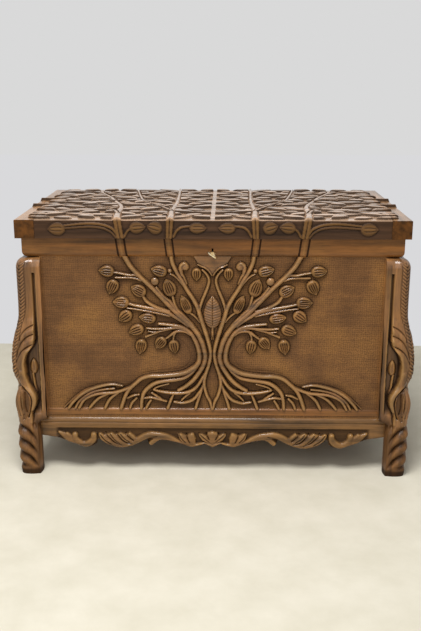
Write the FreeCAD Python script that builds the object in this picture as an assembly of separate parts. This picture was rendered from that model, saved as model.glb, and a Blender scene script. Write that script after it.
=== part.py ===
"""Carved dowry chest: a panelled box on four cabriole legs, with a hinged lid and a turning key.

Millimetres. +Z is up, the front faces -Y and the origin is on the floor, under the middle of the lid.
"""
import FreeCAD
import Part
import math
import os

V = FreeCAD.Vector

# Lid
lid_width = 1000.0
lid_depth = 570.0
lid_thickness = 47.0
lid_end_rail = 50.0
lid_long_rail = 56.0
lid_panel_thickness = 24.0
lid_panel_edge = 10.0
lid_panel_tongue = 8.0
lid_tenon_thickness = 12.0
lid_tenon_length = 20.0
lid_tenon_rise = 5.0
carving_rise = 8.0
carving_end_margin = 24.0
carving_long_margin = 10.0
lid_leaf_rise = 7.0
lid_leaf_rows = 13
lid_leaf_columns = 8
lid_leaf_width = 23.0
# Lengths, tilts and shifts towards the back that the lid's leaves take in turn
lid_leaf_lengths = (56.0, 48.0, 62.0, 52.0, 66.0, 46.0, 58.0)
lid_leaf_tilts = (12.0, -20.0, 7.0, -15.0, 24.0, -26.0, 3.0)
lid_leaf_shifts = (0.0, 6.0, -5.0, 3.0, -7.0, 5.0, -3.0)
lid_branch_width = 15.0
lid_branch_moat = 3.5
lid_centre_gap = 6.0
smallest_carving = 60.0
# Branches of the lid's right half: shares of its half width from the middle and of its depth from the front
lid_branches = (
    ((0.214, 0.0), (0.22, 0.21), (0.21, 0.52), (0.218, 0.97)),
    ((0.22, 0.21), (0.33, 0.42), (0.396, 0.53), (0.436, 0.7), (0.48, 0.95)),
    ((0.48, 0.0), (0.5, 0.21), (0.506, 0.37), (0.564, 0.54), (0.66, 0.79), (0.7, 0.9)),
    ((0.494, 0.14), (0.6, 0.3), (0.8, 0.382), (0.95, 0.404)),
    ((0.56, 0.535), (0.65, 0.565), (0.76, 0.586), (0.95, 0.597)),
)
lid_batten_width = 60.0
lid_batten_thickness = 18.0
lid_batten_spacing = 290.0
batten_screw_reach = 150.0

# Crown: the fixed rail that the lid rests on
crown_top = 643.0
crown_height = 52.0
crown_width = 40.0
crown_round = 16.0
lid_overhang = 13.5
dowel_radius = 5.0
dowel_depth = 22.0

# Legs
leg_post = 60.0
leg_shoulder = 14.5
shoulder_round = 16.0
shank_inset = 26.0
strip_width = 15.0
slot_width = 7.0
slot_depth = 10.0
slot_below_top = 40.0
slot_above_apron = 16.0
foot_height = 24.0
foot_swell = 16.0
rope_lobes = 3
rope_lobe_length = 41.0
rope_swell = 17.5
rope_valley = 12.0
leaf_length = 104.0
leaf_swell = 21.0
leaf_peak_share = 0.58
knee_swell = 9.0
belly_swell = 21.0
straight_post = 131.0
# Share of the belly's length upwards from the knee, and share of its swell there
belly_curve = ((0.17, 0.87), (0.35, 1.0), (0.64, 0.6), (0.83, 0.17))

# Wall panels
panel_setback = 14.5
panel_thickness = 20.0
panel_tongue = 8.0
bead_height = 19.0
bead_stand = 10.0
bead_round = 8.0

# Tree on the front panel: distances from the middle and heights, drawn for these edges of the panel
tree_rise = 8.0
tree_bud_rise = 7.0
tree_gap = 1.0
drawn_half_width = 441.0
drawn_foot = 179.0
drawn_top = 591.0
# Strands of the right half: width and middle line
tree_strands = (
    (14.0, ((140, 414), (77, 405), (50, 380), (36, 345), (36, 315), (52, 292), (85, 277), (165, 270), (206, 248),
            (236, 205), (244, 179))),
    (15.0, ((231, 591), (187, 541), (97, 448), (45, 397), (22, 345), (20, 320), (34, 283), (72, 241), (90, 230))),
    (12.0, ((106, 591), (92, 553), (50, 481), (32, 435), (14, 378), (6, 340), (10, 302), (22, 255), (14, 214),
            (3, 179))),
    (9.0, ((18, 551), (10, 530), (20, 494), (33, 440))),
    (12.0, ((220, 468), (160, 455), (98, 434), (62, 407))),
    (9.0, ((252, 551), (215, 545), (185, 538))),
    (9.0, ((179, 487), (150, 461), (112, 449))),
    (9.0, ((172, 402), (110, 402), (72, 401))),
    (9.0, ((56, 385), (85, 395), (104, 388), (120, 376))),
    (10.0, ((215, 241), (262, 223), (325, 213), (357, 179))),
    (11.0, ((240, 242), (285, 244), (345, 221), (388, 179))),
    (12.0, ((42, 296), (75, 266), (130, 256), (172, 236), (188, 205), (191, 179))),
    (10.0, ((20, 277), (53, 231), (100, 222), (155, 231))),
    (9.0, ((24, 247), (46, 209), (80, 194), (100, 197))),
    (8.0, ((250, 222), (276, 197), (283, 179))),
)
# Buds of the right half: middle, length, width and heading, with 0 pointing away from the panel's middle
tree_buds = (
    ((273, 555), 40.0, 29.0, 5.0), ((259, 513), 40.0, 31.0, -65.0), ((192, 504), 42.0, 31.0, 28.0),
    ((238, 472), 42.0, 30.0, 2.0), ((228, 434), 39.0, 31.0, -35.0), ((170, 430), 44.0, 27.0, 8.0),
    ((200, 397), 41.0, 29.0, -20.0), ((188, 352), 40.0, 29.0, -80.0), ((137, 362), 37.0, 28.0, -50.0),
    ((101, 352), 37.0, 27.0, -100.0), ((138, 556), 42.0, 28.0, 15.0), ((112, 512), 47.0, 33.0, 70.0),
    ((70, 467), 52.0, 25.0, 66.0), ((41, 547), 33.0, 24.0, -90.0),
)
tree_leaf = ((0, 447), 88.0, 46.0, 90.0)

# Aprons
apron_top = 160.0
apron_end_height = 57.0
apron_thickness = 30.0
apron_round = 8.0
apron_rabbet = 8.0
apron_tenon_thickness = 8.0
apron_tenon_height = 20.0
apron_tenon_length = 18.0
apron_tenon_setback = 6.0
apron_tenon_below_top = 10.0
apron_tenon_gap = 2.0
# Lower outlines of half an apron: share of the half length from the middle, and drop below its ends
long_scallops = (
    (0.0, 34.0), (0.045, 24.0), (0.115, 33.5), (0.2, 18.0), (0.28, 10.0), (0.36, 24.0),
    (0.43, 15.0), (0.525, 36.0), (0.6, 30.0), (0.66, 12.0), (0.72, 35.0), (0.8, 19.0), (0.9, 6.0),
)
short_scallops = (
    (0.0, 34.0), (0.085, 24.0), (0.21, 33.5), (0.37, 14.0), (0.5, 10.0), (0.68, 34.0), (0.86, 14.0),
)

# Floor
floor_thickness = 14.0
floor_boards = 4
floor_gap = 1.0
ledger_height = 25.0
ledger_thickness = 20.0
crossbar_width = 40.0

# Hinges
hinge_spacing = 560.0
hinge_length = 80.0
leaf_plate_width = 30.0
leaf_plate = 2.5
knuckles = 5
knuckle_radius = 5.0
hinge_pin_radius = 2.5
pin_behind_crown = 3.0
pin_head_radius = 4.0
pin_head_thickness = 1.5
leaf_screws = 3
leaf_screw_pitch = 26.0
leaf_screw_setback = 20.0

# Lock and key
keyhole_drop = 40.0
keyhole_radius = 4.5
keyhole_slot = 4.6
lock_width = 72.0
lock_depth = 16.0
lock_wall = 1.6
cover_flange = 14.0
cover_thickness = 2.0
bolt_width = 30.0
bolt_thickness = 8.0
bolt_throw = 10.0
bolt_tail_width = 10.0
guide_thickness = 3.0
key_shank_radius = 3.0
key_bit_length = 10.0
key_bit_thickness = 3.0
key_collar_radius = 5.5
key_collar_thickness = 3.0
key_stand = 5.0
key_bow_length = 25.0
key_bow_width = 30.0
key_bow_rim = 6.0
key_bow_thickness = 3.2
key_rest_tilt = 35.0
strike_length = 62.0
strike_width = 22.0
strike_thickness = 2.0
strike_screw_pitch = 48.0

# Screws
screw_head_radius = 3.2
screw_shank_radius = 1.6
screw_length = 16.0
screw_sink = 0.2

# Clearances
joint_clearance = 0.2
panel_clearance = 0.2
tongue_end_clearance = 0.5
floor_clearance = 1.0
sliding_clearance = 0.3
pin_clearance = 0.05
key_clearance = 0.1
knuckle_gap = 0.3
knuckle_relief = 0.5

# Places worked out from the sizes above
lid_bottom = crown_top
lid_top = lid_bottom + lid_thickness
carving_top = lid_top + carving_rise
crown_bottom = crown_top - crown_height
crown_half_width = lid_width / 2 - lid_overhang
crown_half_depth = lid_depth / 2 - lid_overhang
post_x = crown_half_width + leg_shoulder
post_y = crown_half_depth + leg_shoulder
inner_x = post_x - leg_post
inner_y = post_y - leg_post
panel_bottom = apron_top - apron_rabbet
floor_bottom = panel_bottom
floor_top = floor_bottom + floor_thickness
ankle_height = foot_height + rope_lobes * rope_lobe_length
knee_height = ankle_height + leaf_length
belly_top = crown_bottom - straight_post
belly_length = belly_top - knee_height
hinge_y = crown_half_depth + pin_behind_crown
lock_inner_y = -crown_half_depth + crown_width
lock_outer_y = lock_inner_y - lock_depth
bolt_front_y = lock_outer_y + joint_clearance + lock_wall + sliding_clearance
bolt_back_y = bolt_front_y + bolt_thickness
bit_rise = key_bit_length + key_bit_thickness
keyhole_height = crown_top - keyhole_drop
lock_height = keyhole_drop + key_bit_length

turns = {"front": 0, "right": 90, "back": 180, "left": -90}


def long_side(side):
    """Whether a side of the chest is one of the two long ones."""
    return side in ("front", "back")


def half_span(side):
    """Half of the way between the legs along a side."""
    return inner_x if long_side(side) else inner_y


def crown_face(side):
    """How far the crown's outer face on a side lies from the middle."""
    return crown_half_depth if long_side(side) else crown_half_width


def block(x_limits, y_limits, z_limits):
    """A rectangular block between three pairs of limits."""
    corner = V(x_limits[0], y_limits[0], z_limits[0])
    return Part.makeBox(x_limits[1] - x_limits[0], y_limits[1] - y_limits[0],
                        z_limits[1] - z_limits[0], corner)


def prism(edges, direction):
    """A closed outline of edges, filled and extruded."""
    return Part.Face(Part.Wire(Part.__sortEdges__(edges))).extrude(direction)


def lines(points):
    """Straight edges through a row of points."""
    return [Part.makeLine(start, end) for start, end in zip(points, points[1:])]


def arc(start, middle, end):
    """An arc through three points."""
    return Part.Arc(start, middle, end).toShape()


def turned(shape, degrees):
    """A copy turned about the upright axis."""
    copy = shape.copy()
    copy.rotate(V(0, 0, 0), V(0, 0, 1), degrees)
    return copy


def in_all_corners(shape):
    """The shape of the right rear corner, and its mirror images in the other corners."""
    left = shape.mirror(V(0, 0, 0), V(1, 0, 0))
    return [copy for item in (shape, left) for copy in (item, item.mirror(V(0, 0, 0), V(0, 1, 0)))]


def cut_all(shape, tools):
    """A shape less every tool."""
    for tool in tools:
        shape = shape.cut(tool)
    return shape


def ribbon(points, width, rise):
    """A flat band of even width along a row of points, raised by a vector."""
    left = []
    right = []
    for index, point in enumerate(points):
        heading = points[min(index + 1, len(points) - 1)] - points[max(index - 1, 0)]
        aside = rise.cross(heading).normalize() * (width / 2)
        left.append(point + aside)
        right.append(point - aside)
    outline = left + right[::-1]
    return prism(lines(outline + outline[:1]), rise)


def raised_leaf(centre, along, aside, rise):
    """A lens-shaped leaf with its tips along one vector and its sides along another, raised by a third."""
    edges = [arc(centre - along, centre + aside, centre + along), arc(centre + along, centre - aside, centre - along)]
    return prism(edges, rise)


def rounded_edge(outer_y, edge_z, radius, half_length, down):
    """What a round takes off a long edge at outer_y and edge_z, on its upper or lower corner."""
    inward = outer_y + radius
    centre_z = edge_z + radius if down else edge_z - radius
    bite_y = outer_y + radius * (1 - math.sqrt(0.5))
    bite_z = centre_z + (edge_z - centre_z) * math.sqrt(0.5)
    start = V(-half_length, outer_y, centre_z)
    corner = V(-half_length, outer_y, edge_z)
    end = V(-half_length, inward, edge_z)
    edges = [arc(start, V(-half_length, bite_y, bite_z), end)] + lines([end, corner, start])
    return prism(edges, V(2 * half_length, 0, 0))


# Legs

def leg_outline(post, inner):
    """One view of the rear right leg: points at (outward, up), from the foot's inside round to it again."""
    def at(swell, height):
        return V(post + swell, 0, height)

    edges = lines([at(foot_swell, 0), at(rope_valley, foot_height)])
    for lobe in range(rope_lobes):
        low = foot_height + lobe * rope_lobe_length
        edges.append(arc(at(rope_valley, low), at(rope_swell, low + rope_lobe_length / 2),
                         at(rope_valley, low + rope_lobe_length)))
    edges.append(arc(at(rope_valley, ankle_height), at(leaf_swell, ankle_height + leaf_peak_share * leaf_length),
                     at(knee_swell, knee_height)))
    curve = [at(knee_swell, knee_height)]
    curve += [at(swell * belly_swell, knee_height + share * belly_length) for share, swell in belly_curve]
    curve.append(at(0, belly_top))
    belly = Part.BSplineCurve()
    belly.interpolate(curve)
    edges.append(belly.toShape())
    round_centre = crown_bottom - shoulder_round
    edges += lines([at(0, belly_top), at(0, round_centre)])
    bite = shoulder_round * (1 - math.sqrt(0.5))
    edges.append(arc(at(0, round_centre), at(-bite, crown_bottom - bite), at(-shoulder_round, crown_bottom)))
    shank = inner + shank_inset
    edges += lines([at(-shoulder_round, crown_bottom), V(inner, 0, crown_bottom), V(inner, 0, apron_top),
                    V(shank, 0, apron_top), V(shank, 0, 0), at(foot_swell, 0)])
    return edges


def dowel(clearance):
    """The rear right dowel, half in the leg and half in the crown's mitre, or the hole for it."""
    depth = dowel_depth + clearance
    foot = V(crown_half_width - crown_width / 2, crown_half_depth - crown_width / 2, crown_bottom - depth)
    return Part.makeCylinder(dowel_radius + clearance, 2 * depth, foot)


def leg_facing(post_along, post_across, inner_along):
    """What comes off a leg's face beside the panel: the flat strip's recess and the slot next to it."""
    reach = 2 * (belly_swell + leaf_swell)
    strip = (inner_along, inner_along + strip_width)
    slot = (strip[1], strip[1] + slot_width)
    recess = block(strip, (post_across, post_across + reach), (apron_top, crown_bottom))
    groove = block(slot, (post_across - slot_depth, post_across + reach),
                   (apron_top + slot_above_apron, crown_bottom - slot_below_top))
    return [recess, groove]


def swapped(shape):
    """A copy with x and y exchanged, for the leg's other face."""
    copy = shape.mirror(V(0, 0, 0), V(1, 0, 0))
    return turned(copy, -90)


def rear_right_leg():
    """A post with a cabriole nose on its corner, and the seats for panels, aprons and dowels."""
    reach = post_x + post_y
    across = prism(leg_outline(post_x, inner_x), V(0, reach, 0))
    along = swapped(prism(leg_outline(post_y, inner_y), V(0, reach, 0)))
    body = across.common(along)
    tools = leg_facing(post_x, post_y, inner_x)
    tools += [swapped(tool) for tool in leg_facing(post_y, post_x, inner_y)]
    for side in ("back", "right"):
        tools.append(turned(wall_panel(side, panel_clearance), turns[side]))
        tools += [turned(tenon, turns[side]) for tenon in apron_tenons(side, joint_clearance)]
    return cut_all(body, tools + [dowel(joint_clearance)])


# Crown

def crown_rail(side):
    """One mitred length of the crown, drawn as the front one, its lower outer edge rounded."""
    half_depth = crown_face(side)
    half_length = crown_half_width if long_side(side) else crown_half_depth
    corners = [V(-half_length, -half_depth, crown_bottom),
               V(half_length, -half_depth, crown_bottom),
               V(half_length - crown_width, crown_width - half_depth, crown_bottom),
               V(crown_width - half_length, crown_width - half_depth, crown_bottom)]
    rail = prism(lines(corners + corners[:1]), V(0, 0, crown_height))
    rail = rail.cut(rounded_edge(-half_depth, crown_bottom, crown_round, half_length, True))
    return rail.cut(wall_panel(side, panel_clearance))


def keyhole(radius, slot, y_limits):
    """A round hole on the key's axis with a slot above it for the bit."""
    hole = Part.makeCylinder(radius, y_limits[1] - y_limits[0],
                             V(0, y_limits[0], keyhole_height), V(0, 1, 0))
    upright = block((-slot / 2, slot / 2), y_limits, (keyhole_height, keyhole_height + bit_rise))
    return hole.fuse(upright)


def lock_recess():
    """The pocket for the lock in the inner side of the front crown rail."""
    half = lock_width / 2
    return block((-half, half), (lock_outer_y, lock_inner_y), (crown_top - lock_height, crown_top))


# Walls

def wall_panel(side, clearance):
    """A wall panel drawn as the front one, housed in legs, crown and apron, or the groove for it."""
    face = panel_setback - crown_face(side)
    tongue = panel_tongue + (tongue_end_clearance if clearance else 0.0)
    reach = half_span(side) + tongue
    return block((-reach, reach), (face - clearance, face + panel_thickness + clearance),
                 (panel_bottom, crown_bottom + tongue))


def on_tree(place):
    """A drawn place of the tree, stretched to the front panel."""
    foot = apron_top + bead_height + tree_gap
    top = crown_bottom - tree_gap
    share = (place[1] - drawn_foot) / (drawn_top - drawn_foot)
    return V(place[0] * inner_x / drawn_half_width, panel_setback - crown_half_depth, foot + share * (top - foot))


def tree_carving():
    """The tree's strands, buds and middle leaf, raised from the front panel's face."""
    shapes = [ribbon([on_tree(place) for place in places], width, V(0, -tree_rise, 0))
              for width, places in tree_strands]
    for place, length, width, heading in tree_buds + (tree_leaf,):
        angle = math.radians(heading)
        along = V(math.cos(angle), 0, math.sin(angle))
        aside = V(-along.z, 0, along.x)
        shapes.append(raised_leaf(on_tree(place), along * (length / 2), aside * (width / 2), V(0, -tree_bud_rise, 0)))
    shapes += [shape.mirror(V(0, 0, 0), V(1, 0, 0)) for shape in shapes[:-1]]
    foot = apron_top + bead_height + tree_gap
    face = panel_setback - crown_half_depth
    field = block((-inner_x, inner_x), (face - tree_rise, face), (foot, crown_bottom - tree_gap))
    return [shape.common(field) for shape in shapes]


def bead_strip(side):
    """The rounded strip planted on a panel's foot, over the apron."""
    reach = half_span(side)
    face = panel_setback - crown_face(side)
    strip = block((-reach, reach), (face - bead_stand, face), (apron_top, apron_top + bead_height))
    return strip.cut(rounded_edge(face - bead_stand, apron_top + bead_height, bead_round, reach, False))


# Aprons

def apron_tenons(side, clearance):
    """The two end tenons of an apron, or their mortises. Side tenons pass below the long ones."""
    shoulder = half_span(side) + shank_inset
    top = apron_top - apron_tenon_below_top
    if not long_side(side):
        top -= apron_tenon_height + apron_tenon_gap
    front = apron_tenon_setback - crown_face(side)
    length = apron_tenon_length + clearance
    right = block((shoulder, shoulder + length), (front - clearance, front + apron_tenon_thickness + clearance),
                  (top - apron_tenon_height - clearance, top + clearance))
    return [right, right.mirror(V(0, 0, 0), V(1, 0, 0))]


def apron_mitres(side):
    """What comes off an apron's back at its ends, where it meets the next apron behind the leg."""
    shoulder = half_span(side) + shank_inset
    back = apron_thickness - crown_face(side)
    behind_leg = apron_thickness + leg_shoulder + shank_inset - leg_post
    if behind_leg <= 0:
        return []
    corners = [V(shoulder, back - behind_leg, 0), V(shoulder, back, 0), V(shoulder - behind_leg, back, 0)]
    right = prism(lines(corners + corners[:1]), V(0, 0, apron_top))
    return [right, right.mirror(V(0, 0, 0), V(1, 0, 0))]


def apron(side, scallops):
    """A rail between two legs, drawn as the front one, its lower edge scalloped or straight."""
    shoulder = half_span(side) + shank_inset
    front = -crown_face(side)
    end_z = apron_top - apron_end_height
    half = [V(shoulder, front, end_z)]
    half += [V(share * shoulder, front, end_z - drop) for share, drop in reversed(scallops)]
    outline = half + [V(-point.x, front, point.z) for point in reversed(half) if point.x > 0]
    lower = Part.makeLine(outline[0], outline[-1])
    if scallops:
        curve = Part.BSplineCurve()
        curve.interpolate(outline)
        lower = curve.toShape()
    upper = lines([outline[-1], V(-shoulder, front, apron_top), V(shoulder, front, apron_top), outline[0]])
    rail = prism([lower] + upper, V(0, apron_thickness, 0))
    rail = rail.cut(rounded_edge(front, apron_top, apron_round, shoulder, False))
    rabbet_y = front + panel_setback
    rail = rail.cut(block((-shoulder, shoulder), (rabbet_y, front + apron_thickness), (panel_bottom, apron_top)))
    rail = cut_all(rail, apron_mitres(side))
    return rail.multiFuse(apron_tenons(side, 0.0)).removeSplitter()


# Floor

def floor_ledger(side):
    """The strip on an apron's back that carries the floor. The short ones fit between the long ones."""
    back = apron_thickness - crown_face(side)
    half_length = crown_half_width - apron_thickness
    if not long_side(side):
        half_length = crown_half_depth - apron_thickness - ledger_thickness
    return block((-half_length, half_length), (back, back + ledger_thickness),
                 (floor_bottom - ledger_height, floor_bottom))


def floor_crossbar():
    """The bar under the middle of the floor, between the long ledgers."""
    half_length = crown_half_depth - apron_thickness - ledger_thickness
    return block((-crossbar_width / 2, crossbar_width / 2), (-half_length, half_length),
                 (floor_bottom - ledger_height, floor_bottom))


def floor_board(index):
    """One long floor board, cut out round the legs."""
    half_x = crown_half_width - panel_setback - panel_thickness - floor_clearance
    half_y = crown_half_depth - panel_setback - panel_thickness - floor_clearance
    width = (2 * half_y - (floor_boards - 1) * floor_gap) / floor_boards
    start = -half_y + index * (width + floor_gap)
    board = block((-half_x, half_x), (start, start + width), (floor_bottom, floor_top))
    room = block((inner_x - floor_clearance, post_x), (inner_y - floor_clearance, post_y),
                 (floor_bottom, floor_top))
    return cut_all(board, in_all_corners(room))


# Lid

def lid_place(share_x, share_y):
    """A place on the lid's top: shares of its half width from the middle and of its depth from the front."""
    return V(share_x * lid_width / 2, (share_y - 0.5) * lid_depth, lid_top)


def lid_carving():
    """The branches and leaves on the lid's top, with moats between them."""
    branches = [[lid_place(*share) for share in shares] for shares in lid_branches]
    ribs = [ribbon(points, lid_branch_width, V(0, 0, carving_rise)) for points in branches]
    moats = [ribbon(points, lid_branch_width + 2 * lid_branch_moat, V(0, 0, carving_rise)) for points in branches]
    moat = moats[0].multiFuse(moats[1:])
    field_x = lid_width / 2 - carving_end_margin
    field_y = lid_depth / 2 - carving_long_margin
    pitch_x = field_x / lid_leaf_columns
    pitch_y = 2 * field_y / lid_leaf_rows
    leaves = []
    for row in range(lid_leaf_rows):
        for column in range(lid_leaf_columns):
            tilt = math.radians(lid_leaf_tilts[(3 * row + 5 * column) % len(lid_leaf_tilts)])
            reach = lid_leaf_lengths[(row + 2 * column) % len(lid_leaf_lengths)] / 2
            shift = lid_leaf_shifts[(2 * row + column) % len(lid_leaf_shifts)]
            along = V(math.cos(tilt), math.sin(tilt), 0)
            aside = V(-along.y, along.x, 0)
            middle_x = min(pitch_x * (column + 0.4 + 0.4 * (row % 2)), field_x - reach)
            middle = V(middle_x, pitch_y * (row + 0.5) - field_y + shift, lid_top)
            leaf = raised_leaf(middle, along * reach, aside * (lid_leaf_width / 2), V(0, 0, lid_leaf_rise))
            leaves.append(leaf.cut(moat))
    half = block((lid_centre_gap, field_x), (-lid_depth / 2, field_y), (lid_top, carving_top))
    right = [solid for shape in ribs + leaves for solid in shape.common(half).Solids]
    return right + [solid.mirror(V(0, 0, 0), V(1, 0, 0)) for solid in right]


def with_carving(member, carving, x_limits, y_limits):
    """A lid member with its share of the carving on top."""
    room = block(x_limits, y_limits, (lid_top, carving_top))
    shares = [solid for shape in carving if shape.BoundBox.intersect(room.BoundBox)
              for solid in shape.common(room).Solids if solid.Volume > smallest_carving]
    return member.multiFuse(shares).removeSplitter()


def lid_panel(clearance):
    """The lid's board with a tongue round its edge, or the grooves for that tongue."""
    half_x = lid_width / 2 - lid_end_rail
    half_y = lid_depth / 2 - lid_long_rail
    low = lid_top - lid_panel_thickness
    end = lid_panel_tongue + (tongue_end_clearance if clearance else 0.0)
    edge_low = lid_top - (lid_panel_thickness + lid_panel_edge) / 2
    tongue = block((-half_x - end, half_x + end), (-half_y - end, half_y + end),
                   (edge_low - clearance, edge_low + lid_panel_edge + clearance))
    if clearance:
        return tongue
    return block((-half_x, half_x), (-half_y, half_y), (low, lid_top)).fuse(tongue).removeSplitter()


def lid_tenon(clearance):
    """The tongue of the front lid rail's right end, or its mortise in the end rail."""
    start = lid_width / 2 - lid_end_rail
    front = -lid_depth / 2
    low = lid_bottom + lid_tenon_rise
    inset = lid_tenon_rise
    return block((start, start + lid_tenon_length + clearance),
                 (front + inset - clearance, front + lid_long_rail - inset + clearance),
                 (low - clearance, low + lid_tenon_thickness + clearance))


def lid_end(carving):
    """The rail at the lid's right end, with its carving and with the grooves and mortises in it."""
    half_x = lid_width / 2
    half_y = lid_depth / 2
    limits = ((half_x - lid_end_rail, half_x), (-half_y, half_y))
    rail = with_carving(block(*limits, (lid_bottom, lid_top)), carving, *limits)
    mortise = lid_tenon(joint_clearance)
    tools = [lid_panel(panel_clearance), mortise, mortise.mirror(V(0, 0, 0), V(0, 1, 0))]
    return cut_all(rail, tools)


def lid_long(side, carving):
    """The lid's front or back rail, with its carving and with a tongue at each end."""
    x_limits = (lid_end_rail - lid_width / 2, lid_width / 2 - lid_end_rail)
    outer = lid_depth / 2
    inner = outer - lid_long_rail
    rail = block(x_limits, (-outer, -inner), (lid_bottom, lid_top))
    tenon = lid_tenon(0.0)
    rail = rail.multiFuse([tenon, tenon.mirror(V(0, 0, 0), V(1, 0, 0))]).removeSplitter()
    rail = turned(rail.cut(lid_panel(panel_clearance)), turns[side])
    return with_carving(rail, carving, x_limits, (-outer, -inner) if side == "front" else (inner, outer))


def lid_board(carving):
    """The carved lid panel with the screw holes of its battens."""
    half_x = lid_width / 2 - lid_end_rail
    half_y = lid_depth / 2 - lid_long_rail
    board = with_carving(lid_panel(0.0), carving, (-half_x, half_x), (-half_y, half_y))
    return cut_all(board, [screw_hole(place) for place in batten_screw_places()])


def lid_batten(x):
    """A batten across the underside of the lid panel."""
    half_y = lid_depth / 2 - lid_long_rail - floor_clearance
    top = lid_top - lid_panel_thickness
    bottom = top - lid_batten_thickness
    bar = block((x - lid_batten_width / 2, x + lid_batten_width / 2), (-half_y, half_y), (bottom, top))
    for point, direction in batten_screw_places():
        counterbore = Part.makeCylinder(screw_head_radius + joint_clearance, point.z - bottom,
                                        V(point.x, point.y, bottom))
        bar = cut_all(bar, [counterbore, screw_hole((point, direction))])
    return bar


def batten_places():
    """Where the three lid battens lie."""
    return {"left": -lid_batten_spacing, "middle": 0.0, "right": lid_batten_spacing}


# Screws: a place is the middle of the head, and the direction that the screw points

def screw_shape(place, extra):
    """A countersunk screw, or with extra room the hole for it."""
    point, direction = place
    head = screw_head_radius + extra
    shank = screw_shank_radius + extra
    cone_height = screw_head_radius - screw_shank_radius
    start = point + direction * screw_sink
    lip = Part.makeCylinder(head, screw_sink + extra, point - direction * extra, direction)
    cone = Part.makeCone(head, shank, cone_height, start, direction)
    body = Part.makeCylinder(shank, screw_length - cone_height + extra, start + direction * cone_height, direction)
    if extra:
        return lip.multiFuse([cone, body])
    return cone.fuse(body).removeSplitter()


def screw_hole(place):
    """The room that a screw needs."""
    return screw_shape(place, joint_clearance / 2)


def screw_group(places):
    """All screws of one kind as one group of separate solids."""
    return Part.makeCompound([screw_shape(place, 0.0) for place in places])


def batten_screw_places():
    """Two counterbored screws up through each lid batten, half their length in the panel."""
    head = lid_top - lid_panel_thickness - screw_length / 2
    return [(V(x, y, head), V(0, 0, 1))
            for x in batten_places().values() for y in (-batten_screw_reach, batten_screw_reach)]


def hinge_screw_places(direction):
    """The screws of both hinges on one leaf, pointing up into the lid or down into the crown."""
    first = -(leaf_screws - 1) / 2
    return [(V(centre + (first + index) * leaf_screw_pitch, hinge_y - leaf_screw_setback, crown_top),
             V(0, 0, direction))
            for centre in (-hinge_spacing / 2, hinge_spacing / 2) for index in range(leaf_screws)]


def lock_screw_places():
    """Four screws through the lock's cover into the crown, pointing to the front."""
    x = (lock_width + cover_flange) / 2
    middle = crown_top - lock_height / 2
    z = (lock_height - cover_flange) / 2
    return [(V(side * x, lock_inner_y + cover_thickness, middle + up * z), V(0, -1, 0))
            for side in (-1, 1) for up in (-1, 1)]


def strike_screw_places():
    """Two screws up through the strike plate."""
    y = (bolt_front_y + bolt_back_y) / 2
    return [(V(side * strike_screw_pitch / 2, y, lid_bottom), V(0, 0, 1)) for side in (-1, 1)]


# Hinges

def hinge_barrel(centre, radius, half_length):
    """A round bar on the hinge's axis."""
    return Part.makeCylinder(radius, 2 * half_length, V(centre - half_length, hinge_y, crown_top), V(1, 0, 0))


def hinge_leaf(centre, up):
    """A leaf with its knuckles: the body's lies in the crown and has the odd ones, the lid's has the rest."""
    low, high = (crown_top, crown_top + leaf_plate) if up else (crown_top - leaf_plate, crown_top)
    half = hinge_length / 2
    edge = hinge_y - knuckle_radius - knuckle_relief
    leaf = block((centre - half, centre + half), (hinge_y - leaf_plate_width, edge), (low, high))
    pitch = hinge_length / knuckles
    for index in range(1 if up else 0, knuckles, 2):
        start = centre - half + index * pitch + knuckle_gap / 2
        end = start + pitch - knuckle_gap
        tab = block((start, end), (edge, hinge_y), (low, high))
        middle = (start + end) / 2
        leaf = leaf.multiFuse([tab, hinge_barrel(middle, knuckle_radius, (end - start) / 2)])
    leaf = leaf.cut(hinge_barrel(centre, hinge_pin_radius + pin_clearance, half))
    direction = 1 if up else -1
    return cut_all(leaf, [screw_hole(place) for place in hinge_screw_places(direction)]).removeSplitter()


def hinge_pin(centre):
    """The pin with a head at each end."""
    half = hinge_length / 2
    pin = hinge_barrel(centre, hinge_pin_radius, half)
    heads = [hinge_barrel(centre + side * (half + pin_head_thickness / 2), pin_head_radius, pin_head_thickness / 2)
             for side in (-1, 1)]
    return pin.multiFuse(heads).removeSplitter()


def hinge_seats(up):
    """The leaf mortises and barrel notches of both hinges, in the crown or in the lid."""
    low, high = (crown_top, crown_top + leaf_plate) if up else (crown_top - leaf_plate, crown_top)
    tools = []
    for centre in (-hinge_spacing / 2, hinge_spacing / 2):
        half = hinge_length / 2 + joint_clearance
        tools.append(block((centre - half, centre + half),
                           (hinge_y - leaf_plate_width - joint_clearance, hinge_y), (low, high)))
        room = half + pin_head_thickness + joint_clearance
        tools.append(hinge_barrel(centre, knuckle_radius + knuckle_relief, room))
    tools += [screw_hole(place) for place in hinge_screw_places(1 if up else -1)]
    return tools


# Lock and key

def bolt_room(clearance, low, high):
    """The bolt's upright passage between two heights."""
    half = bolt_width / 2 + clearance
    return block((-half, half), (bolt_front_y - clearance, bolt_back_y + clearance), (low, high))


def lock_case():
    """A box open towards the inside of the chest, with guides beside the bolt."""
    half = lock_width / 2 - joint_clearance
    front = lock_outer_y + joint_clearance
    low = crown_top - lock_height + joint_clearance
    high = crown_top - joint_clearance
    case = block((-half, half), (front, lock_inner_y), (low, high))
    hollow = block((lock_wall - half, half - lock_wall), (front + lock_wall, lock_inner_y),
                   (low + lock_wall, high - lock_wall))
    case = case.cut(hollow)
    guide_start = bolt_width / 2 + sliding_clearance
    guide = block((guide_start, guide_start + guide_thickness), (front, bolt_back_y),
                  (keyhole_height + bit_rise, high))
    case = case.multiFuse([guide, guide.mirror(V(0, 0, 0), V(1, 0, 0))])
    case = case.cut(keyhole(key_shank_radius + key_clearance, key_bit_thickness + 2 * sliding_clearance,
                            (front, front + lock_wall)))
    return case.cut(bolt_room(sliding_clearance, high - lock_wall, high)).removeSplitter()


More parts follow.
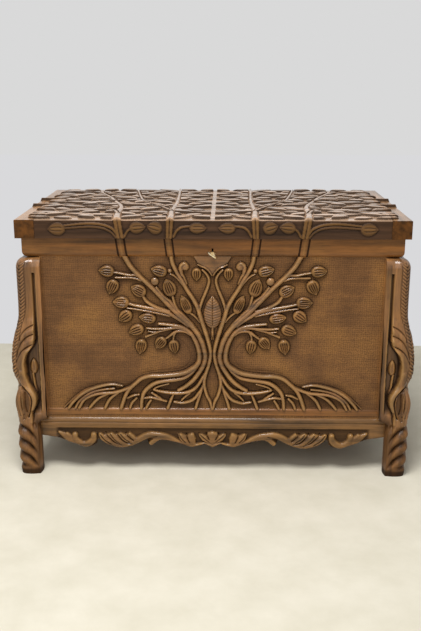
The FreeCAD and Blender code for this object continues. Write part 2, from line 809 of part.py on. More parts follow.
def lock_cover():
    """The plate over the lock, inside the chest, with a bearing for the key's tip."""
    half = lock_width / 2 + cover_flange
    plate = block((-half, half), (lock_inner_y, lock_inner_y + cover_thickness),
                  (crown_top - lock_height, crown_top))
    bearing = Part.makeCylinder(key_shank_radius + key_clearance, cover_thickness,
                                V(0, lock_inner_y, keyhole_height), V(0, 1, 0))
    return cut_all(plate, [bearing] + [screw_hole(place) for place in lock_screw_places()])


def lock_bolt():
    """The bolt at rest, drawn back, with the tail that the key's bit lifts."""
    high = crown_top - 2 * joint_clearance
    body = bolt_room(0.0, keyhole_height + bit_rise, high)
    tail_low = keyhole_height + key_shank_radius + sliding_clearance
    half = bolt_width / 2
    tail = block((half - bolt_tail_width, half), (bolt_front_y, bolt_back_y),
                 (tail_low, keyhole_height + bit_rise))
    return body.fuse(tail).removeSplitter()


def key():
    """A key with a ring bow, turned as it rests in the lock, its bit level with its bow."""
    tip = lock_inner_y + cover_thickness
    bow_back = -crown_half_depth - key_stand - key_collar_thickness
    shank = Part.makeCylinder(key_shank_radius, tip - bow_back, V(0, bow_back, keyhole_height), V(0, 1, 0))
    collar = Part.makeCylinder(key_collar_radius, key_collar_thickness,
                               V(0, bow_back, keyhole_height), V(0, 1, 0))
    bit = block((0, key_bit_length), (bolt_front_y, bolt_back_y),
                (keyhole_height - key_bit_thickness / 2, keyhole_height + key_bit_thickness / 2))
    bow_low = keyhole_height - key_bow_thickness / 2
    bow_middle = V(0, bow_back - key_bow_length / 2 + key_bow_rim / 4, bow_low)

    def oval(width, length):
        ends = [bow_middle + V(width / 2, 0, 0), bow_middle + V(0, length / 2, 0)]
        long_first = ends if width >= length else ends[::-1]
        outline = Part.Ellipse(long_first[0], long_first[1], bow_middle).toShape()
        return Part.Face(Part.Wire(outline)).extrude(V(0, 0, key_bow_thickness))

    ring = oval(key_bow_width, key_bow_length)
    hole = oval(key_bow_width - 2 * key_bow_rim, key_bow_length - 2 * key_bow_rim)
    whole = shank.multiFuse([collar, bit, ring]).cut(hole).removeSplitter()
    whole.rotate(V(0, 0, keyhole_height), V(0, 1, 0), key_rest_tilt)
    return whole


def strike_plate():
    """The plate let into the lid's front rail, with a slot for the bolt."""
    half = strike_length / 2
    middle = (bolt_front_y + bolt_back_y) / 2
    plate = block((-half, half), (middle - strike_width / 2, middle + strike_width / 2),
                  (lid_bottom, lid_bottom + strike_thickness))
    plate = plate.cut(bolt_room(2 * sliding_clearance, lid_bottom, lid_bottom + strike_thickness))
    return cut_all(plate, [screw_hole(place) for place in strike_screw_places()])


def strike_seat():
    """The strike plate's recess in the lid's front rail, the bolt's pocket above it and the screw holes."""
    half = strike_length / 2 + joint_clearance
    middle = (bolt_front_y + bolt_back_y) / 2
    reach = strike_width / 2 + joint_clearance
    seat = block((-half, half), (middle - reach, middle + reach), (lid_bottom, lid_bottom + strike_thickness))
    pocket = bolt_room(2 * sliding_clearance, lid_bottom, lid_bottom + bolt_throw + strike_thickness)
    return [seat, pocket] + [screw_hole(place) for place in strike_screw_places()]


# Assembly

def carcass_nodes():
    """The legs, crown, walls, aprons and floor."""
    nodes = {}
    names = ("leg_rear_right", "leg_front_right", "leg_rear_left", "leg_front_left")
    nodes.update(zip(names, in_all_corners(rear_right_leg())))
    scallops = {"front": long_scallops, "right": short_scallops, "left": short_scallops, "back": ()}
    dowel_holes = in_all_corners(dowel(joint_clearance))
    for side, degrees in turns.items():
        rail = cut_all(turned(crown_rail(side), degrees), dowel_holes)
        panel = wall_panel(side, 0.0)
        if side == "front":
            passage = keyhole(keyhole_radius, keyhole_slot, (-crown_half_depth - key_stand, lock_inner_y))
            lock_room = [lock_recess(), passage] + [screw_hole(place) for place in lock_screw_places()]
            rail = cut_all(rail, lock_room)
            panel = cut_all(panel.multiFuse(tree_carving()).removeSplitter(), lock_room)
        if side == "back":
            rail = cut_all(rail, hinge_seats(False))
        nodes["crown_" + side] = rail
        nodes["panel_" + side] = turned(panel, degrees)
        nodes["apron_" + side] = turned(apron(side, scallops[side]), degrees)
        nodes["floor_ledger_" + side] = turned(floor_ledger(side), degrees)
        if side != "back":
            nodes["bead_" + side] = turned(bead_strip(side), degrees)
    nodes["crown_dowels"] = Part.makeCompound(in_all_corners(dowel(0.0)))
    nodes["floor_crossbar"] = floor_crossbar()
    for index in range(floor_boards):
        nodes["floor_board_%d" % (index + 1)] = floor_board(index)
    return nodes


def lid_nodes():
    """The lid's frame, panel, battens and strike plate."""
    carving = lid_carving()
    end = lid_end(carving)
    front = cut_all(lid_long("front", carving), strike_seat())
    back = cut_all(lid_long("back", carving), hinge_seats(True))
    nodes = {"lid_end_right": end, "lid_end_left": end.mirror(V(0, 0, 0), V(1, 0, 0)), "lid_rail_front": front,
             "lid_rail_back": back, "lid_panel": lid_board(carving), "strike_plate": strike_plate()}
    for name, x in batten_places().items():
        nodes["lid_batten_" + name] = lid_batten(x)
    return nodes


def hardware_nodes():
    """The hinges, the lock, the key and all screws."""
    nodes = {"lock_case": lock_case(), "lock_cover": lock_cover(), "lock_bolt": lock_bolt(), "key": key()}
    for name, centre in (("left", -hinge_spacing / 2), ("right", hinge_spacing / 2)):
        nodes["hinge_%s_body_leaf" % name] = hinge_leaf(centre, False)
        nodes["hinge_%s_lid_leaf" % name] = hinge_leaf(centre, True)
        nodes["hinge_%s_pin" % name] = hinge_pin(centre)
    nodes["hinge_body_screws"] = screw_group(hinge_screw_places(-1))
    nodes["hinge_lid_screws"] = screw_group(hinge_screw_places(1))
    nodes["lock_screws"] = screw_group(lock_screw_places())
    nodes["strike_screws"] = screw_group(strike_screw_places())
    nodes["lid_batten_screws"] = screw_group(batten_screw_places())
    return nodes


os.makedirs("parts", exist_ok=True)
for make_nodes in (carcass_nodes, lid_nodes, hardware_nodes):
    for node, shape in make_nodes().items():
        shape.exportStep("parts/" + node + ".step")
        print(node, len(shape.Solids), round(shape.Volume), shape.isValid())
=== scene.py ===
"""Looks of the carved dowry chest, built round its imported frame.

Carved faces are heights over a grid, in millimetres, and become closed meshes in metres.
"""
import bpy
import math
import numpy as np
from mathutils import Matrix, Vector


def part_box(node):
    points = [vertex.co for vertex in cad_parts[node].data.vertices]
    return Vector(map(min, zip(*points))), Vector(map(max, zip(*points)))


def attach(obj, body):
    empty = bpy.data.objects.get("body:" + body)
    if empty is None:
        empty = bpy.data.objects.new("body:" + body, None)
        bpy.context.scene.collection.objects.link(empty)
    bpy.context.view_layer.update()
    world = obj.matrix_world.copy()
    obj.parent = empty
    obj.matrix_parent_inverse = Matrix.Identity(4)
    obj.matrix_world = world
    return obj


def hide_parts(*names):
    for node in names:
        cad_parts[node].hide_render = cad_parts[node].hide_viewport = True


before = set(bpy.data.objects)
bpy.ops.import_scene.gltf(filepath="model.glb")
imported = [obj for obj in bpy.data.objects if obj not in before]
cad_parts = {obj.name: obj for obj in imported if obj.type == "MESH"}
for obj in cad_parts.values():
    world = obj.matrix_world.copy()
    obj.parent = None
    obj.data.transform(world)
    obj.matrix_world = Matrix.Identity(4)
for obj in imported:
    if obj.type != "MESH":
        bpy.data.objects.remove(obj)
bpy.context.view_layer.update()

MM = 0.001
SHARP_ANGLE = math.radians(55)
SIDES = (("left", -1), ("right", 1))


def corners(node):
    """The lowest and highest corner of a CAD node, in millimetres."""
    low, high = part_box(node)
    return np.array(low) / MM, np.array(high) / MM


# Places taken from the frame
panel_low, panel_high = corners("panel_front")
side_low, side_high = corners("panel_right")
crown_low, crown_high = corners("crown_front")
leg_low, leg_high = corners("leg_rear_right")
apron_low, apron_high = corners("apron_front")
side_apron_high = corners("apron_right")[1]
lid_end_low, lid_end_high = corners("lid_end_right")
lid_rail_high = corners("lid_rail_front")[1]
batten_high = corners("lid_batten_middle")[1]
strike_low, strike_high = corners("strike_plate")
hinge_low, hinge_high = corners("hinge_right_lid_leaf")
hinge_pin_low, hinge_pin_high = corners("hinge_right_pin")

LEAF_RISE = 8.0
LID_BOTTOM = lid_end_low[2]
LID_GROUND = lid_end_high[2] - LEAF_RISE
LID_HALF_WIDTH = lid_end_high[0]
LID_HALF_DEPTH = lid_end_high[1]
LID_END_JOINT = lid_end_low[0]
LID_RAIL_JOINT = -lid_rail_high[1]
LID_EDGE_BEVEL = 1.5
POST = 60.0
PANEL_LAP = 4.0


# Drawing tools

def smooth_line(points, gap=0.8):
    """A smooth curve through a row of points, as points about a gap apart."""
    points = np.array(points, float)
    padded = np.vstack([2 * points[0] - points[1], points, 2 * points[-1] - points[-2]])
    spans = []
    for before, start, end, after in zip(padded, padded[1:], padded[2:], padded[3:]):
        count = max(2, math.ceil(np.linalg.norm(end - start) / gap))
        t = np.arange(count)[:, None] / count
        bend = (2 * before - 5 * start + 4 * end - after) * t ** 2
        twist = (3 * start - before - 3 * end + after) * t ** 3
        spans.append((2 * start + (end - before) * t + bend + twist) / 2)
    return np.vstack(spans + [points[-1:]])


def eased(values, low, high):
    """Values as a smooth step from 0 at low to 1 at high."""
    t = np.clip((np.asarray(values, float) - low) / (high - low), 0, 1)
    return t * t * (3 - 2 * t)


def share_of(values, start, span):
    """How far values have come through a span, from 0 at its start to 1 at its end."""
    return np.clip((values - start) / span, 0, 1)


def curve_through(table, at):
    """A smooth function through a few (place, value) pairs, read at many places."""
    line = smooth_line(table, gap=1.0)
    return np.interp(at, line[:, 0], line[:, 1])


def blurred(field, cells):
    """A field smoothed by three box filters."""
    for _ in range(3):
        for axis in (0, 1):
            pad = [(0, 0), (0, 0)]
            pad[axis] = (cells + 1, cells)
            total = np.cumsum(np.pad(field, pad, mode="edge"), axis=axis)
            size = 2 * cells + 1
            upper = np.take(total, range(size, total.shape[axis]), axis=axis)
            lower = np.take(total, range(total.shape[axis] - size), axis=axis)
            field = (upper - lower) / size
    return field


def lines_between(*breaks, step):
    """Grid lines through every break, about a step apart."""
    runs = [np.linspace(start, end, max(1, round((end - start) / step)) + 1)[:-1]
            for start, end in zip(breaks, breaks[1:])]
    return np.concatenate(runs + [breaks[-1:]])


# A leaf's widest place along it, the fall of its ends, and how its slots, veins and midrib are cut
LEAF_WIDEST = 0.42
LEAF_TIP_POWER = 2.2
LEAF_END_POWER = 5
LEAF_LEAST_RISE = 0.6
SLOT_SPREAD = 0.85
SLOT_HALF_WIDTH = 1.4
SLOT_START = (0.12, 0.3)
SLOT_END = (0.86, 0.96)
VEIN_DEPTH = 1.3
VEIN_REACH = 0.9
MIDRIB_DEPTH = 1.6
MIDRIB_HALF_WIDTH = 1.3
# Where painted shade in wide hollows and fine cuts, wear with a painted highlight on ridges, and painted
# shade on steep walls start to show, and over what span they grow
WIDE_HOLLOW = (0.6, 7.0)
FINE_CUT = (0.15, 1.3)
RIDGE_WEAR_AND_HIGHLIGHT = (0.8, 2.6)
STEEP_WALL = (0.8, 1.6)


def leaf_outline(along):
    """Half width of a leaf as a share of its widest, from its round base at 0 to its pointed tip at 1."""
    base = np.sqrt(np.clip(1 - ((LEAF_WIDEST - along) / LEAF_WIDEST) ** 2, 0, 1))
    tip = 1 - share_of(along, LEAF_WIDEST, 1 - LEAF_WIDEST) ** LEAF_TIP_POWER
    return np.where(along < LEAF_WIDEST, base, tip)


def stroke(points, widths):
    """Points along a smooth curve and the width at each, the widths spread evenly over its length."""
    line = smooth_line(points)
    share = np.linspace(0, len(widths) - 1, len(line))
    return zip(line, np.interp(share, range(len(widths)), widths))


class Relief:
    """Carved heights over grid lines across and up a face."""

    def __init__(self, across, up):
        self.across = np.asarray(across, float)
        self.up = np.asarray(up, float)
        self.height = np.zeros((len(self.up), len(self.across)))
        self.figure = np.zeros_like(self.height)
        self.smooth = np.zeros_like(self.height)
        # Painted shade over the carving, from 0 to 1
        self.gloom = np.zeros_like(self.height)
        self.matt = np.zeros_like(self.height)

    def near(self, x, z, reach):
        """The cells within reach of a point, and how far they lie from it."""
        columns = slice(*np.searchsorted(self.across, (x - reach, x + reach)))
        rows = slice(*np.searchsorted(self.up, (z - reach, z + reach)))
        return (rows, columns), self.across[columns] - x, self.up[rows][:, None] - z

    def raise_to(self, spot, inside, height):
        """Lifts the cells of a spot that lie inside a figure."""
        self.height[spot] = np.where(inside, np.maximum(self.height[spot], height), self.height[spot])
        self.figure[spot] = np.maximum(self.figure[spot], inside)

    def dome(self, x, z, width):
        """The cells under a round dome and the square of its height there, as a share."""
        spot, dx, dz = self.near(x, z, width / 2)
        return spot, np.clip(1 - (dx ** 2 + dz ** 2) * 4 / width ** 2, 0, 1)

    def ridge(self, points, widths, rise):
        """A rounded strand along a smooth curve."""
        for (x, z), width in stroke(points, widths):
            spot, rest = self.dome(x, z, width)
            crown = rise * math.sqrt(width / max(widths))
            self.raise_to(spot, rest > 0, crown * np.sqrt(rest))

    def groove(self, points, width, depth):
        """A rounded cut along a smooth curve."""
        cut = np.zeros_like(self.height)
        for x, z in smooth_line(points):
            spot, rest = self.dome(x, z, width)
            cut[spot] = np.maximum(cut[spot], depth * rest)
        self.height -= cut

    def knob(self, centre, radius, rise):
        """A round boss."""
        spot, rest = self.dome(*centre, 2 * radius)
        self.raise_to(spot, rest > 0, rise * np.sqrt(rest))

    def leaf(self, centre, size, heading, rise, slots=3, slot_depth=3.4, fullness=2.2, veins=0, matt=0.0):
        """A domed bud or leaf with curved slots along it, or with veins off a midrib."""
        length, width = size
        spot, dx, dz = self.near(*centre, length / 2 + width / 4)
        cosine = math.cos(math.radians(heading))
        sine = math.sin(math.radians(heading))
        along = (dx * cosine + dz * sine) / length + 0.5
        aside = dz * cosine - dx * sine
        reach = np.maximum(width / 2 * leaf_outline(along), 0.01)
        share = aside / reach
        inside = (np.abs(share) < 1) & (along > 0) & (along < 1)
        ends = np.clip(1 - np.abs(2 * along - 1) ** LEAF_END_POWER, 0, 1)
        body = rise * np.sqrt(np.clip(1 - np.abs(share) ** fullness, 0, 1) * ends)
        window = eased(along, *SLOT_START) * (1 - eased(along, *SLOT_END))
        for index in range(slots):
            place = (index + 1) / (slots + 1) * 2 * SLOT_SPREAD - SLOT_SPREAD
            body = body - slot_depth * window * np.exp(-((share - place) * reach / SLOT_HALF_WIDTH) ** 2)
        if veins:
            wave = np.cos(2 * math.pi * (along * veins - np.abs(share)))
            body = body - VEIN_DEPTH * np.clip(wave, 0, 1) * (np.abs(share) < VEIN_REACH)
            body = body - MIDRIB_DEPTH * np.exp(-(aside / MIDRIB_HALF_WIDTH) ** 2)
        self.raise_to(spot, inside, np.maximum(body, LEAF_LEAST_RISE))
        self.matt[spot] = np.where(inside, matt, self.matt[spot])

    def within(self, outline):
        """Which cells lie inside a closed outline."""
        edge = np.array(outline, float)
        x = self.across[None, :]
        z = self.up[:, None]
        inside = np.zeros(self.height.shape, bool)
        for (x0, z0), (x1, z1) in zip(edge, np.roll(edge, -1, axis=0)):
            crosses = (z0 > z) != (z1 > z)
            slope = (x1 - x0) / (z1 - z0) if z1 != z0 else 0.0
            inside ^= crosses & (x < x0 + slope * (z - z0))
        return inside

    def plate(self, outline, rise):
        """A smooth raised field inside a closed outline."""
        inside = self.within(outline)
        everywhere = (slice(None), slice(None))
        self.raise_to(everywhere, inside, rise * blurred(inside.astype(float), 2))
        self.smooth = np.maximum(self.smooth, inside)

    def hollow_out(self, outline, depth, gloom):
        """Lowers the ground inside a closed outline and paints shade over it."""
        share = blurred(self.within(outline).astype(float), 2) * (1 - self.figure)
        self.height -= depth * share
        self.gloom = np.maximum(self.gloom, gloom * share)

    def clear(self, points, widths):
        """Takes the carving off along a smooth curve."""
        for (x, z), width in stroke(points, widths):
            spot, dx, dz = self.near(x, z, width / 2)
            bare = dx ** 2 + dz ** 2 < width ** 2 / 4
            self.height[spot] = np.where(bare, 0.0, self.height[spot])
            self.figure[spot] = np.where(bare, 0.0, self.figure[spot])

    def read(self, field, x, z):
        """A field over this relief's grid, read at any places."""
        column = np.clip(np.searchsorted(self.across, x) - 1, 0, len(self.across) - 2)
        row = np.clip(np.searchsorted(self.up, z) - 1, 0, len(self.up) - 2)
        s = np.clip((x - self.across[column]) / (self.across[column + 1] - self.across[column]), 0, 1)
        t = np.clip((z - self.up[row]) / (self.up[row + 1] - self.up[row]), 0, 1)
        low = field[row, column] * (1 - s) + field[row, column + 1] * s
        high = field[row + 1, column] * (1 - s) + field[row + 1, column + 1] * s
        return low * (1 - t) + high * t

    def sink_ground(self, depth, cells, gloom=0.0):
        """Lowers the ground close to the figures and paints shade over it."""
        near = np.clip(2 * blurred(self.figure, cells), 0, 1) * (1 - self.figure)
        self.height -= depth * near
        self.gloom = np.maximum(self.gloom, gloom * near)

    def layers(self, wall_gloom):
        """What the finish reads: painted shade in hollows, near figures and on steep walls, wear with a
        painted highlight on ridges, and the tooled ground.
        """
        layers = shading_layers(self.height, (1 - self.figure) * (1 - self.smooth))
        slope = np.hypot(*np.gradient(self.height, self.up, self.across))
        # Steep walls get painted shade, on top of the painted shade in hollows and near figures
        walls = wall_gloom * share_of(slope, *STEEP_WALL)
        layers["hollow"] = np.maximum.reduce([layers["hollow"], self.gloom, walls])
        layers["matt"] = self.matt
        return layers


def shading_layers(height, ground):
    """Painted shade of hollows, wear with a painted highlight on ridges, and ground values, worked out from a
    field of heights.
    """
    wide = blurred(height, 3) - height
    fine = blurred(height, 1) - height
    return {
        "hollow": np.maximum(share_of(wide, *WIDE_HOLLOW), share_of(fine, *FINE_CUT)),
        "ridge": share_of(-wide, *RIDGE_WEAR_AND_HIGHLIGHT),
        "ground": ground,
    }


# Mesh tools

def quads(rows, columns, closed=False):
    """Quads of a grid of points kept row by row, joined round its columns if closed."""
    index = np.arange(rows * columns).reshape(rows, columns)
    if closed:
        index = np.hstack([index, index[:, :1]])
    return np.stack([index[:-1, :-1], index[:-1, 1:], index[1:, 1:], index[1:, :-1]], -1).reshape(-1, 4)


def capped(rows, columns):
    """Faces of loops of points stacked row by row, with both ends closed."""
    loop = np.arange(columns)
    return list(quads(rows, columns, closed=True)) + [loop[::-1], loop + (rows - 1) * columns]


def facing_out(points, faces):
    """Faces turned so that the closed mesh has its outside out."""
    volume = 0.0
    corners_of_quads = points[np.array([face for face in faces if len(face) == 4])]
    fans = [corners_of_quads] + [points[face][None] for face in faces if len(face) != 4]
    for fan in fans:
        fan = fan - points.mean(axis=0)
        volume += np.einsum("nj,nij->", fan[:, 0], np.cross(fan[:, 1:-1], fan[:, 2:]))
    return faces if volume > 0 else [face[::-1] for face in faces]


def placed(name, data):
    """A new object in the scene."""
    made = bpy.data.objects.new(name, data)
    bpy.context.scene.collection.objects.link(made)
    return made


def make_piece(name, points, faces, layers, finish, body, nodes):
    """A closed mesh that rides on a body and stands for CAD nodes."""
    mesh = bpy.data.meshes.new(name)
    mesh.from_pydata((points * MM).tolist(), [], [face.tolist() for face in facing_out(points, faces)])
    for label, values in layers.items():
        layer = mesh.attributes.new(label, "FLOAT", "POINT")
        layer.data.foreach_set("value", np.ascontiguousarray(values, dtype=np.float32).ravel())
    mesh.shade_smooth()
    mesh.set_sharp_from_angle(angle=SHARP_ANGLE)
    mesh.materials.append(finish)
    part = placed(name, mesh)
    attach(part, body)
    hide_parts(*nodes)


def board(front, back_depth):
    """A closed board: a grid of front points (rows, columns, 3) and a flat back at a place on one axis."""
    rows, columns = front.shape[:2]
    index = np.arange(rows * columns).reshape(rows, columns)
    rim = np.concatenate([index[0, :-1], index[:-1, -1], index[-1, :0:-1], index[:0:-1, 0]])
    points = front.reshape(-1, 3)
    back = points[rim].copy()
    axis, place = back_depth
    back[:, axis] = place
    behind = np.arange(len(rim)) + len(points)
    walls = np.stack([rim, np.roll(rim, -1), np.roll(behind, -1), behind], -1)
    faces = list(quads(rows, columns)) + list(walls[:, ::-1]) + [behind]
    return np.vstack([points, back]), faces, rim


def board_layers(layers, rim, back_matt=0.0):
    """Layers of a board's front, followed by the values of its back."""
    back = {"matt": back_matt}
    return {label: np.append(values.ravel(), np.full(len(rim), back.get(label, 0.0)))
            for label, values in layers.items()}


def swept(stations, loop, normals, offsets):
    """A closed bar: a loop of (outward, up) points along stations, moved out by offsets (stations, loop)."""
    section = loop[None] + normals[None] * offsets[..., None]
    length = np.broadcast_to(np.asarray(stations)[:, None, None], section.shape[:2] + (1,))
    points = np.concatenate([length, section], -1).reshape(-1, 3)
    return points, capped(len(stations), len(loop))


def on_face(axis, side, along, out, up):
    """Points of a face that looks along an axis to one side, in the frame."""
    parts = [along, along, up]
    parts[axis] = side * out
    return np.stack(np.broadcast_arrays(*parts), -1)


# Shader tools

def paint(red, green, blue):
    """A colour written as it shows, from 0 to 255, in the shader's linear values."""
    shown = np.array([red, green, blue]) / 255
    linear = np.where(shown <= 0.04045, shown / 12.92, ((shown + 0.055) / 1.055) ** 2.4)
    return (*(float(part) for part in linear), 1.0)


class Signal:
    """A shader socket that takes part in arithmetic."""

    def __init__(self, finish, socket):
        self.finish = finish
        self.socket = socket

    def math(self, operation, first, second):
        return self.finish.node("ShaderNodeMath", {"operation": operation}, {0: first, 1: second})

    def __add__(self, other):
        return self.math("ADD", self, other)

    def __sub__(self, other):
        return self.math("SUBTRACT", self, other)

    def __rsub__(self, other):
        return self.math("SUBTRACT", other, self)

    def __mul__(self, other):
        return self.math("MULTIPLY", self, other)

    def __pow__(self, other):
        return self.math("POWER", self, other)

    __radd__ = __add__
    __rmul__ = __mul__


class Nodes:
    """A tree of shader nodes."""

    def __init__(self, tree):
        self.tree = tree

    def connect(self, value, socket):
        """Links a signal to a socket, or sets a plain value on it."""
        if isinstance(value, Signal):
            self.tree.links.new(value.socket, socket)
        else:
            socket.default_value = value

    def node(self, kind, settings, sockets, output=0):
        """A node with its settings and sockets, and one of its outputs."""
        made = self.tree.nodes.new(kind)
        for label, value in settings.items():
            setattr(made, label, value)
        for label, value in sockets.items():
            self.connect(value, made.inputs[label])
        return Signal(self, made.outputs[output])

    def in_sight(self):
        """1 for what the camera sees, also in reflections and through glass, and 0 for lighting."""
        rays = [self.node("ShaderNodeLightPath", {}, {}, label)
                for label in ("Is Camera Ray", "Is Glossy Ray", "Is Transmission Ray")]
        return self.ramp(rays[0] + rays[1] + rays[2], 0.0, 1.0)

    def ramp(self, value, low, high):
        """A value clamped to run from 0 at low to 1 at high."""
        return self.node("ShaderNodeMapRange", {"clamp": True}, {0: value, 1: low, 2: high})


class Finish(Nodes):
    """A material's nodes and the shader at their end."""

    def __init__(self, name, constants):
        self.material = bpy.data.materials.new(name)
        self.material.use_nodes = True
        super().__init__(self.material.node_tree)
        self.shader = self.tree.nodes["Principled BSDF"]
        for label, value in constants.items():
            self.shader.inputs[label].default_value = value

    def place(self):
        """Where a point lies on its piece, in metres."""
        return self.node("ShaderNodeTexCoord", {}, {}, "Object")

    def layer(self, label):
        """A value kept on the mesh."""
        return self.node("ShaderNodeAttribute", {"attribute_name": label}, {}, "Fac")

    def scaled(self, vector, factors):
        """A vector times three factors."""
        return self.node("ShaderNodeVectorMath", {"operation": "MULTIPLY"}, {0: vector, 1: factors})

    def along(self, place, grain):
        """A place drawn out along one axis, for grain."""
        stretch = [1.0, 1.0, 1.0]
        stretch[grain] = GRAIN_STRETCH
        return self.scaled(place, stretch)

    def noise(self, vector, scale, detail=3.0, roughness=0.55):
        """Cloudy noise from 0 to 1."""
        sockets = {"Vector": vector, "Scale": scale, "Detail": detail, "Roughness": roughness}
        return self.node("ShaderNodeTexNoise", {}, sockets)

    def mix(self, factor, first, second):
        """One colour turning into another."""
        return self.node("ShaderNodeMix", {"data_type": "RGBA"}, {0: factor, 6: first, 7: second}, 2)

    def surface(self, colour, roughness, bump, strength, distance):
        """Feeds the shader its colour, roughness and bump."""
        self.connect(colour, self.shader.inputs["Base Color"])
        self.connect(roughness, self.shader.inputs["Roughness"])
        sockets = {"Strength": strength, "Distance": distance, "Height": bump}
        normal = self.node("ShaderNodeBump", {}, sockets)
        self.connect(normal, self.shader.inputs["Normal"])
        return self.material


# Finishes

THREAD_PITCH = 0.0056
THREAD_WANDER = 13.0
GRAIN_STRETCH = 0.05
# Colour of wear and painted highlight on the lid's raised ridges
LID_WEAR_AND_HIGHLIGHT = (166, 120, 62)
RAIL_TONE = (123, 79, 37)
APRON_TONE = (117, 83, 46)


def tint(colour, factor):
    """A colour made darker or lighter, for the shader."""
    return paint(*(factor * part for part in colour))


def linen_threads(finish, place, axes):
    """Crossed, wandering threads of the tooled ground, from 0 to 1."""
    wander = finish.noise(place, 110.0) * THREAD_WANDER
    threads = []
    for axis in axes:
        distance = finish.node("ShaderNodeSeparateXYZ", {}, {0: place}, axis)
        turn = distance * (2 * math.pi / THREAD_PITCH) + wander
        threads.append(finish.node("ShaderNodeMath", {"operation": "SINE"}, {0: turn}))
    return (threads[0] + threads[1]) * 0.25 + 0.5


def varnished_wood(name, grain, tooled=(0, 2), tone=(122, 84, 48), gloss=0.7,
                   wear_and_highlight=(184, 140, 78), stain=(48, 29, 16)):
    """Brown varnished wood with its grain along one axis, painted shade in hollows, wear with a painted
    highlight on ridges, and tooled ground.
    """
    finish = Finish(name, {"Coat Roughness": 0.16, "Specular IOR Level": 0.14})
    place = finish.place()
    along = finish.along(place, grain)
    figure = finish.noise(along, 60.0, 4.0, 0.62)
    pores = finish.noise(along, 620.0, 2.0, 0.5)
    patches = finish.noise(place, 8.0, 4.0, 0.6)
    hollow, ridge, ground, matt = (finish.layer(label) for label in ("hollow", "ridge", "ground", "matt"))
    linen = linen_threads(finish, place, tooled)
    shade = finish.ramp(figure, 0.32, 0.7) * (1 - ground * 0.7) + ground * 0.42
    # Each colour covers the ones before it by its share: golden and dark patches, pores, threads,
    # stain, wear with a painted highlight on ridges, and painted shade in deep hollows
    layers = (
        (finish.ramp(patches, 0.45, 0.7) * (ground * 0.25 + 0.25), paint(172, 122, 62)),
        (finish.ramp(patches, 0.5, 0.32) * ground * 0.5, paint(74, 48, 28)),
        (finish.ramp(pores, 0.52, 0.7) * 0.35, paint(58, 37, 21)),
        (ground * linen ** 1.5 * 0.6, paint(62, 40, 23)),
        (matt, finish.mix(shade, tint(stain, 0.7), tint(stain, 1.35))),
        # Wear and a painted highlight on raised ridges
        (ridge * 0.38, paint(*wear_and_highlight)),
        # Painted shade in hollows, near figures and on steep walls
        (hollow ** 0.8 * 0.9, paint(30, 17, 9)),
    )
    brown = finish.mix(shade, tint(tone, 0.62), tint(tone, 1.24))
    for share, colour in layers:
        brown = finish.mix(share, brown, colour)
    coat = (1 - ground * 0.8) * (1 - hollow) * (1 - matt) ** 4 * gloss
    finish.connect(coat, finish.shader.inputs["Coat Weight"])
    roughness = 0.4 + pores * 0.16 + hollow * 0.3 + ground * 0.1
    bump = figure * 0.25 + pores * 0.3 + ground * linen * 0.9
    return finish.surface(brown, roughness, bump, 0.45, 0.0013)


def plain_wood(name, grain):
    """Unvarnished inner wood, paler and matt."""
    finish = Finish(name, {"Specular IOR Level": 0.3})
    along = finish.along(finish.place(), grain)
    figure = finish.noise(along, 48.0, 4.0, 0.6)
    pores = finish.noise(along, 560.0, 2.0)
    brown = finish.mix(finish.ramp(figure, 0.3, 0.72), paint(112, 79, 51), paint(158, 119, 79))
    brown = finish.mix(finish.ramp(pores, 0.52, 0.7) * 0.5, brown, paint(84, 57, 37))
    return finish.surface(brown, 0.62 + pores * 0.2, figure * 0.4 + pores * 0.4, 0.35, 0.001)


def worn_brass():
    """Bright key brass with darker tarnish."""
    finish = Finish("worn_brass", {"Metallic": 1.0})
    tarnish = finish.ramp(finish.noise(finish.place(), 180.0, 4.0, 0.6), 0.42, 0.7)
    colour = finish.mix(tarnish, paint(252, 238, 204), paint(214, 184, 130))
    scratches = finish.noise(finish.scaled(finish.place(), (1.0, 0.2, 1.0)), 1500.0, 2.0)
    return finish.surface(colour, 0.2 + tarnish * 0.2, scratches, 0.15, 0.0005)


def dull_iron():
    """Dark iron of the hinges, lock and screws."""
    finish = Finish("dull_iron", {"Metallic": 0.85})
    patches = finish.noise(finish.place(), 120.0, 5.0, 0.65)
    colour = finish.mix(finish.ramp(patches, 0.35, 0.7), paint(58, 54, 50), paint(98, 88, 78))
    return finish.surface(colour, 0.38 + patches * 0.3, patches, 0.3, 0.0006)


wood_across = varnished_wood("varnished_wood_across", 0, gloss=0.95)
wood_back = varnished_wood("varnished_wood_back", 1, tooled=(1, 2))
wood_upright = varnished_wood("varnished_wood_upright", 2)
# The lid's pale tone is painted sheen: its top is made paler to stand for the grazing reflection on it
wood_lid_painted_sheen = varnished_wood("varnished_wood_lid_painted_sheen", 0, tone=(181, 149, 121), gloss=1.0, wear_and_highlight=LID_WEAR_AND_HIGHLIGHT)
wood_lid_end = varnished_wood("varnished_wood_lid_end", 1, tone=(152, 114, 78), gloss=0.8, wear_and_highlight=LID_WEAR_AND_HIGHLIGHT,
                              stain=(72, 42, 12))
wood_rail = varnished_wood("varnished_rail", 0, tone=RAIL_TONE, gloss=0.5)
wood_rail_back = varnished_wood("varnished_rail_back", 1, tone=RAIL_TONE, gloss=0.5)
wood_apron = varnished_wood("varnished_apron", 0, tone=APRON_TONE, gloss=0.5)
wood_apron_back = varnished_wood("varnished_apron_back", 1, tone=APRON_TONE, gloss=0.5)
inner_across = plain_wood("inner_wood_across", 0)
inner_back = plain_wood("inner_wood_back", 1)
brass = worn_brass()
iron = dull_iron()


# The tree on the front panel: (distance from the middle, height), widths along the strand, rise

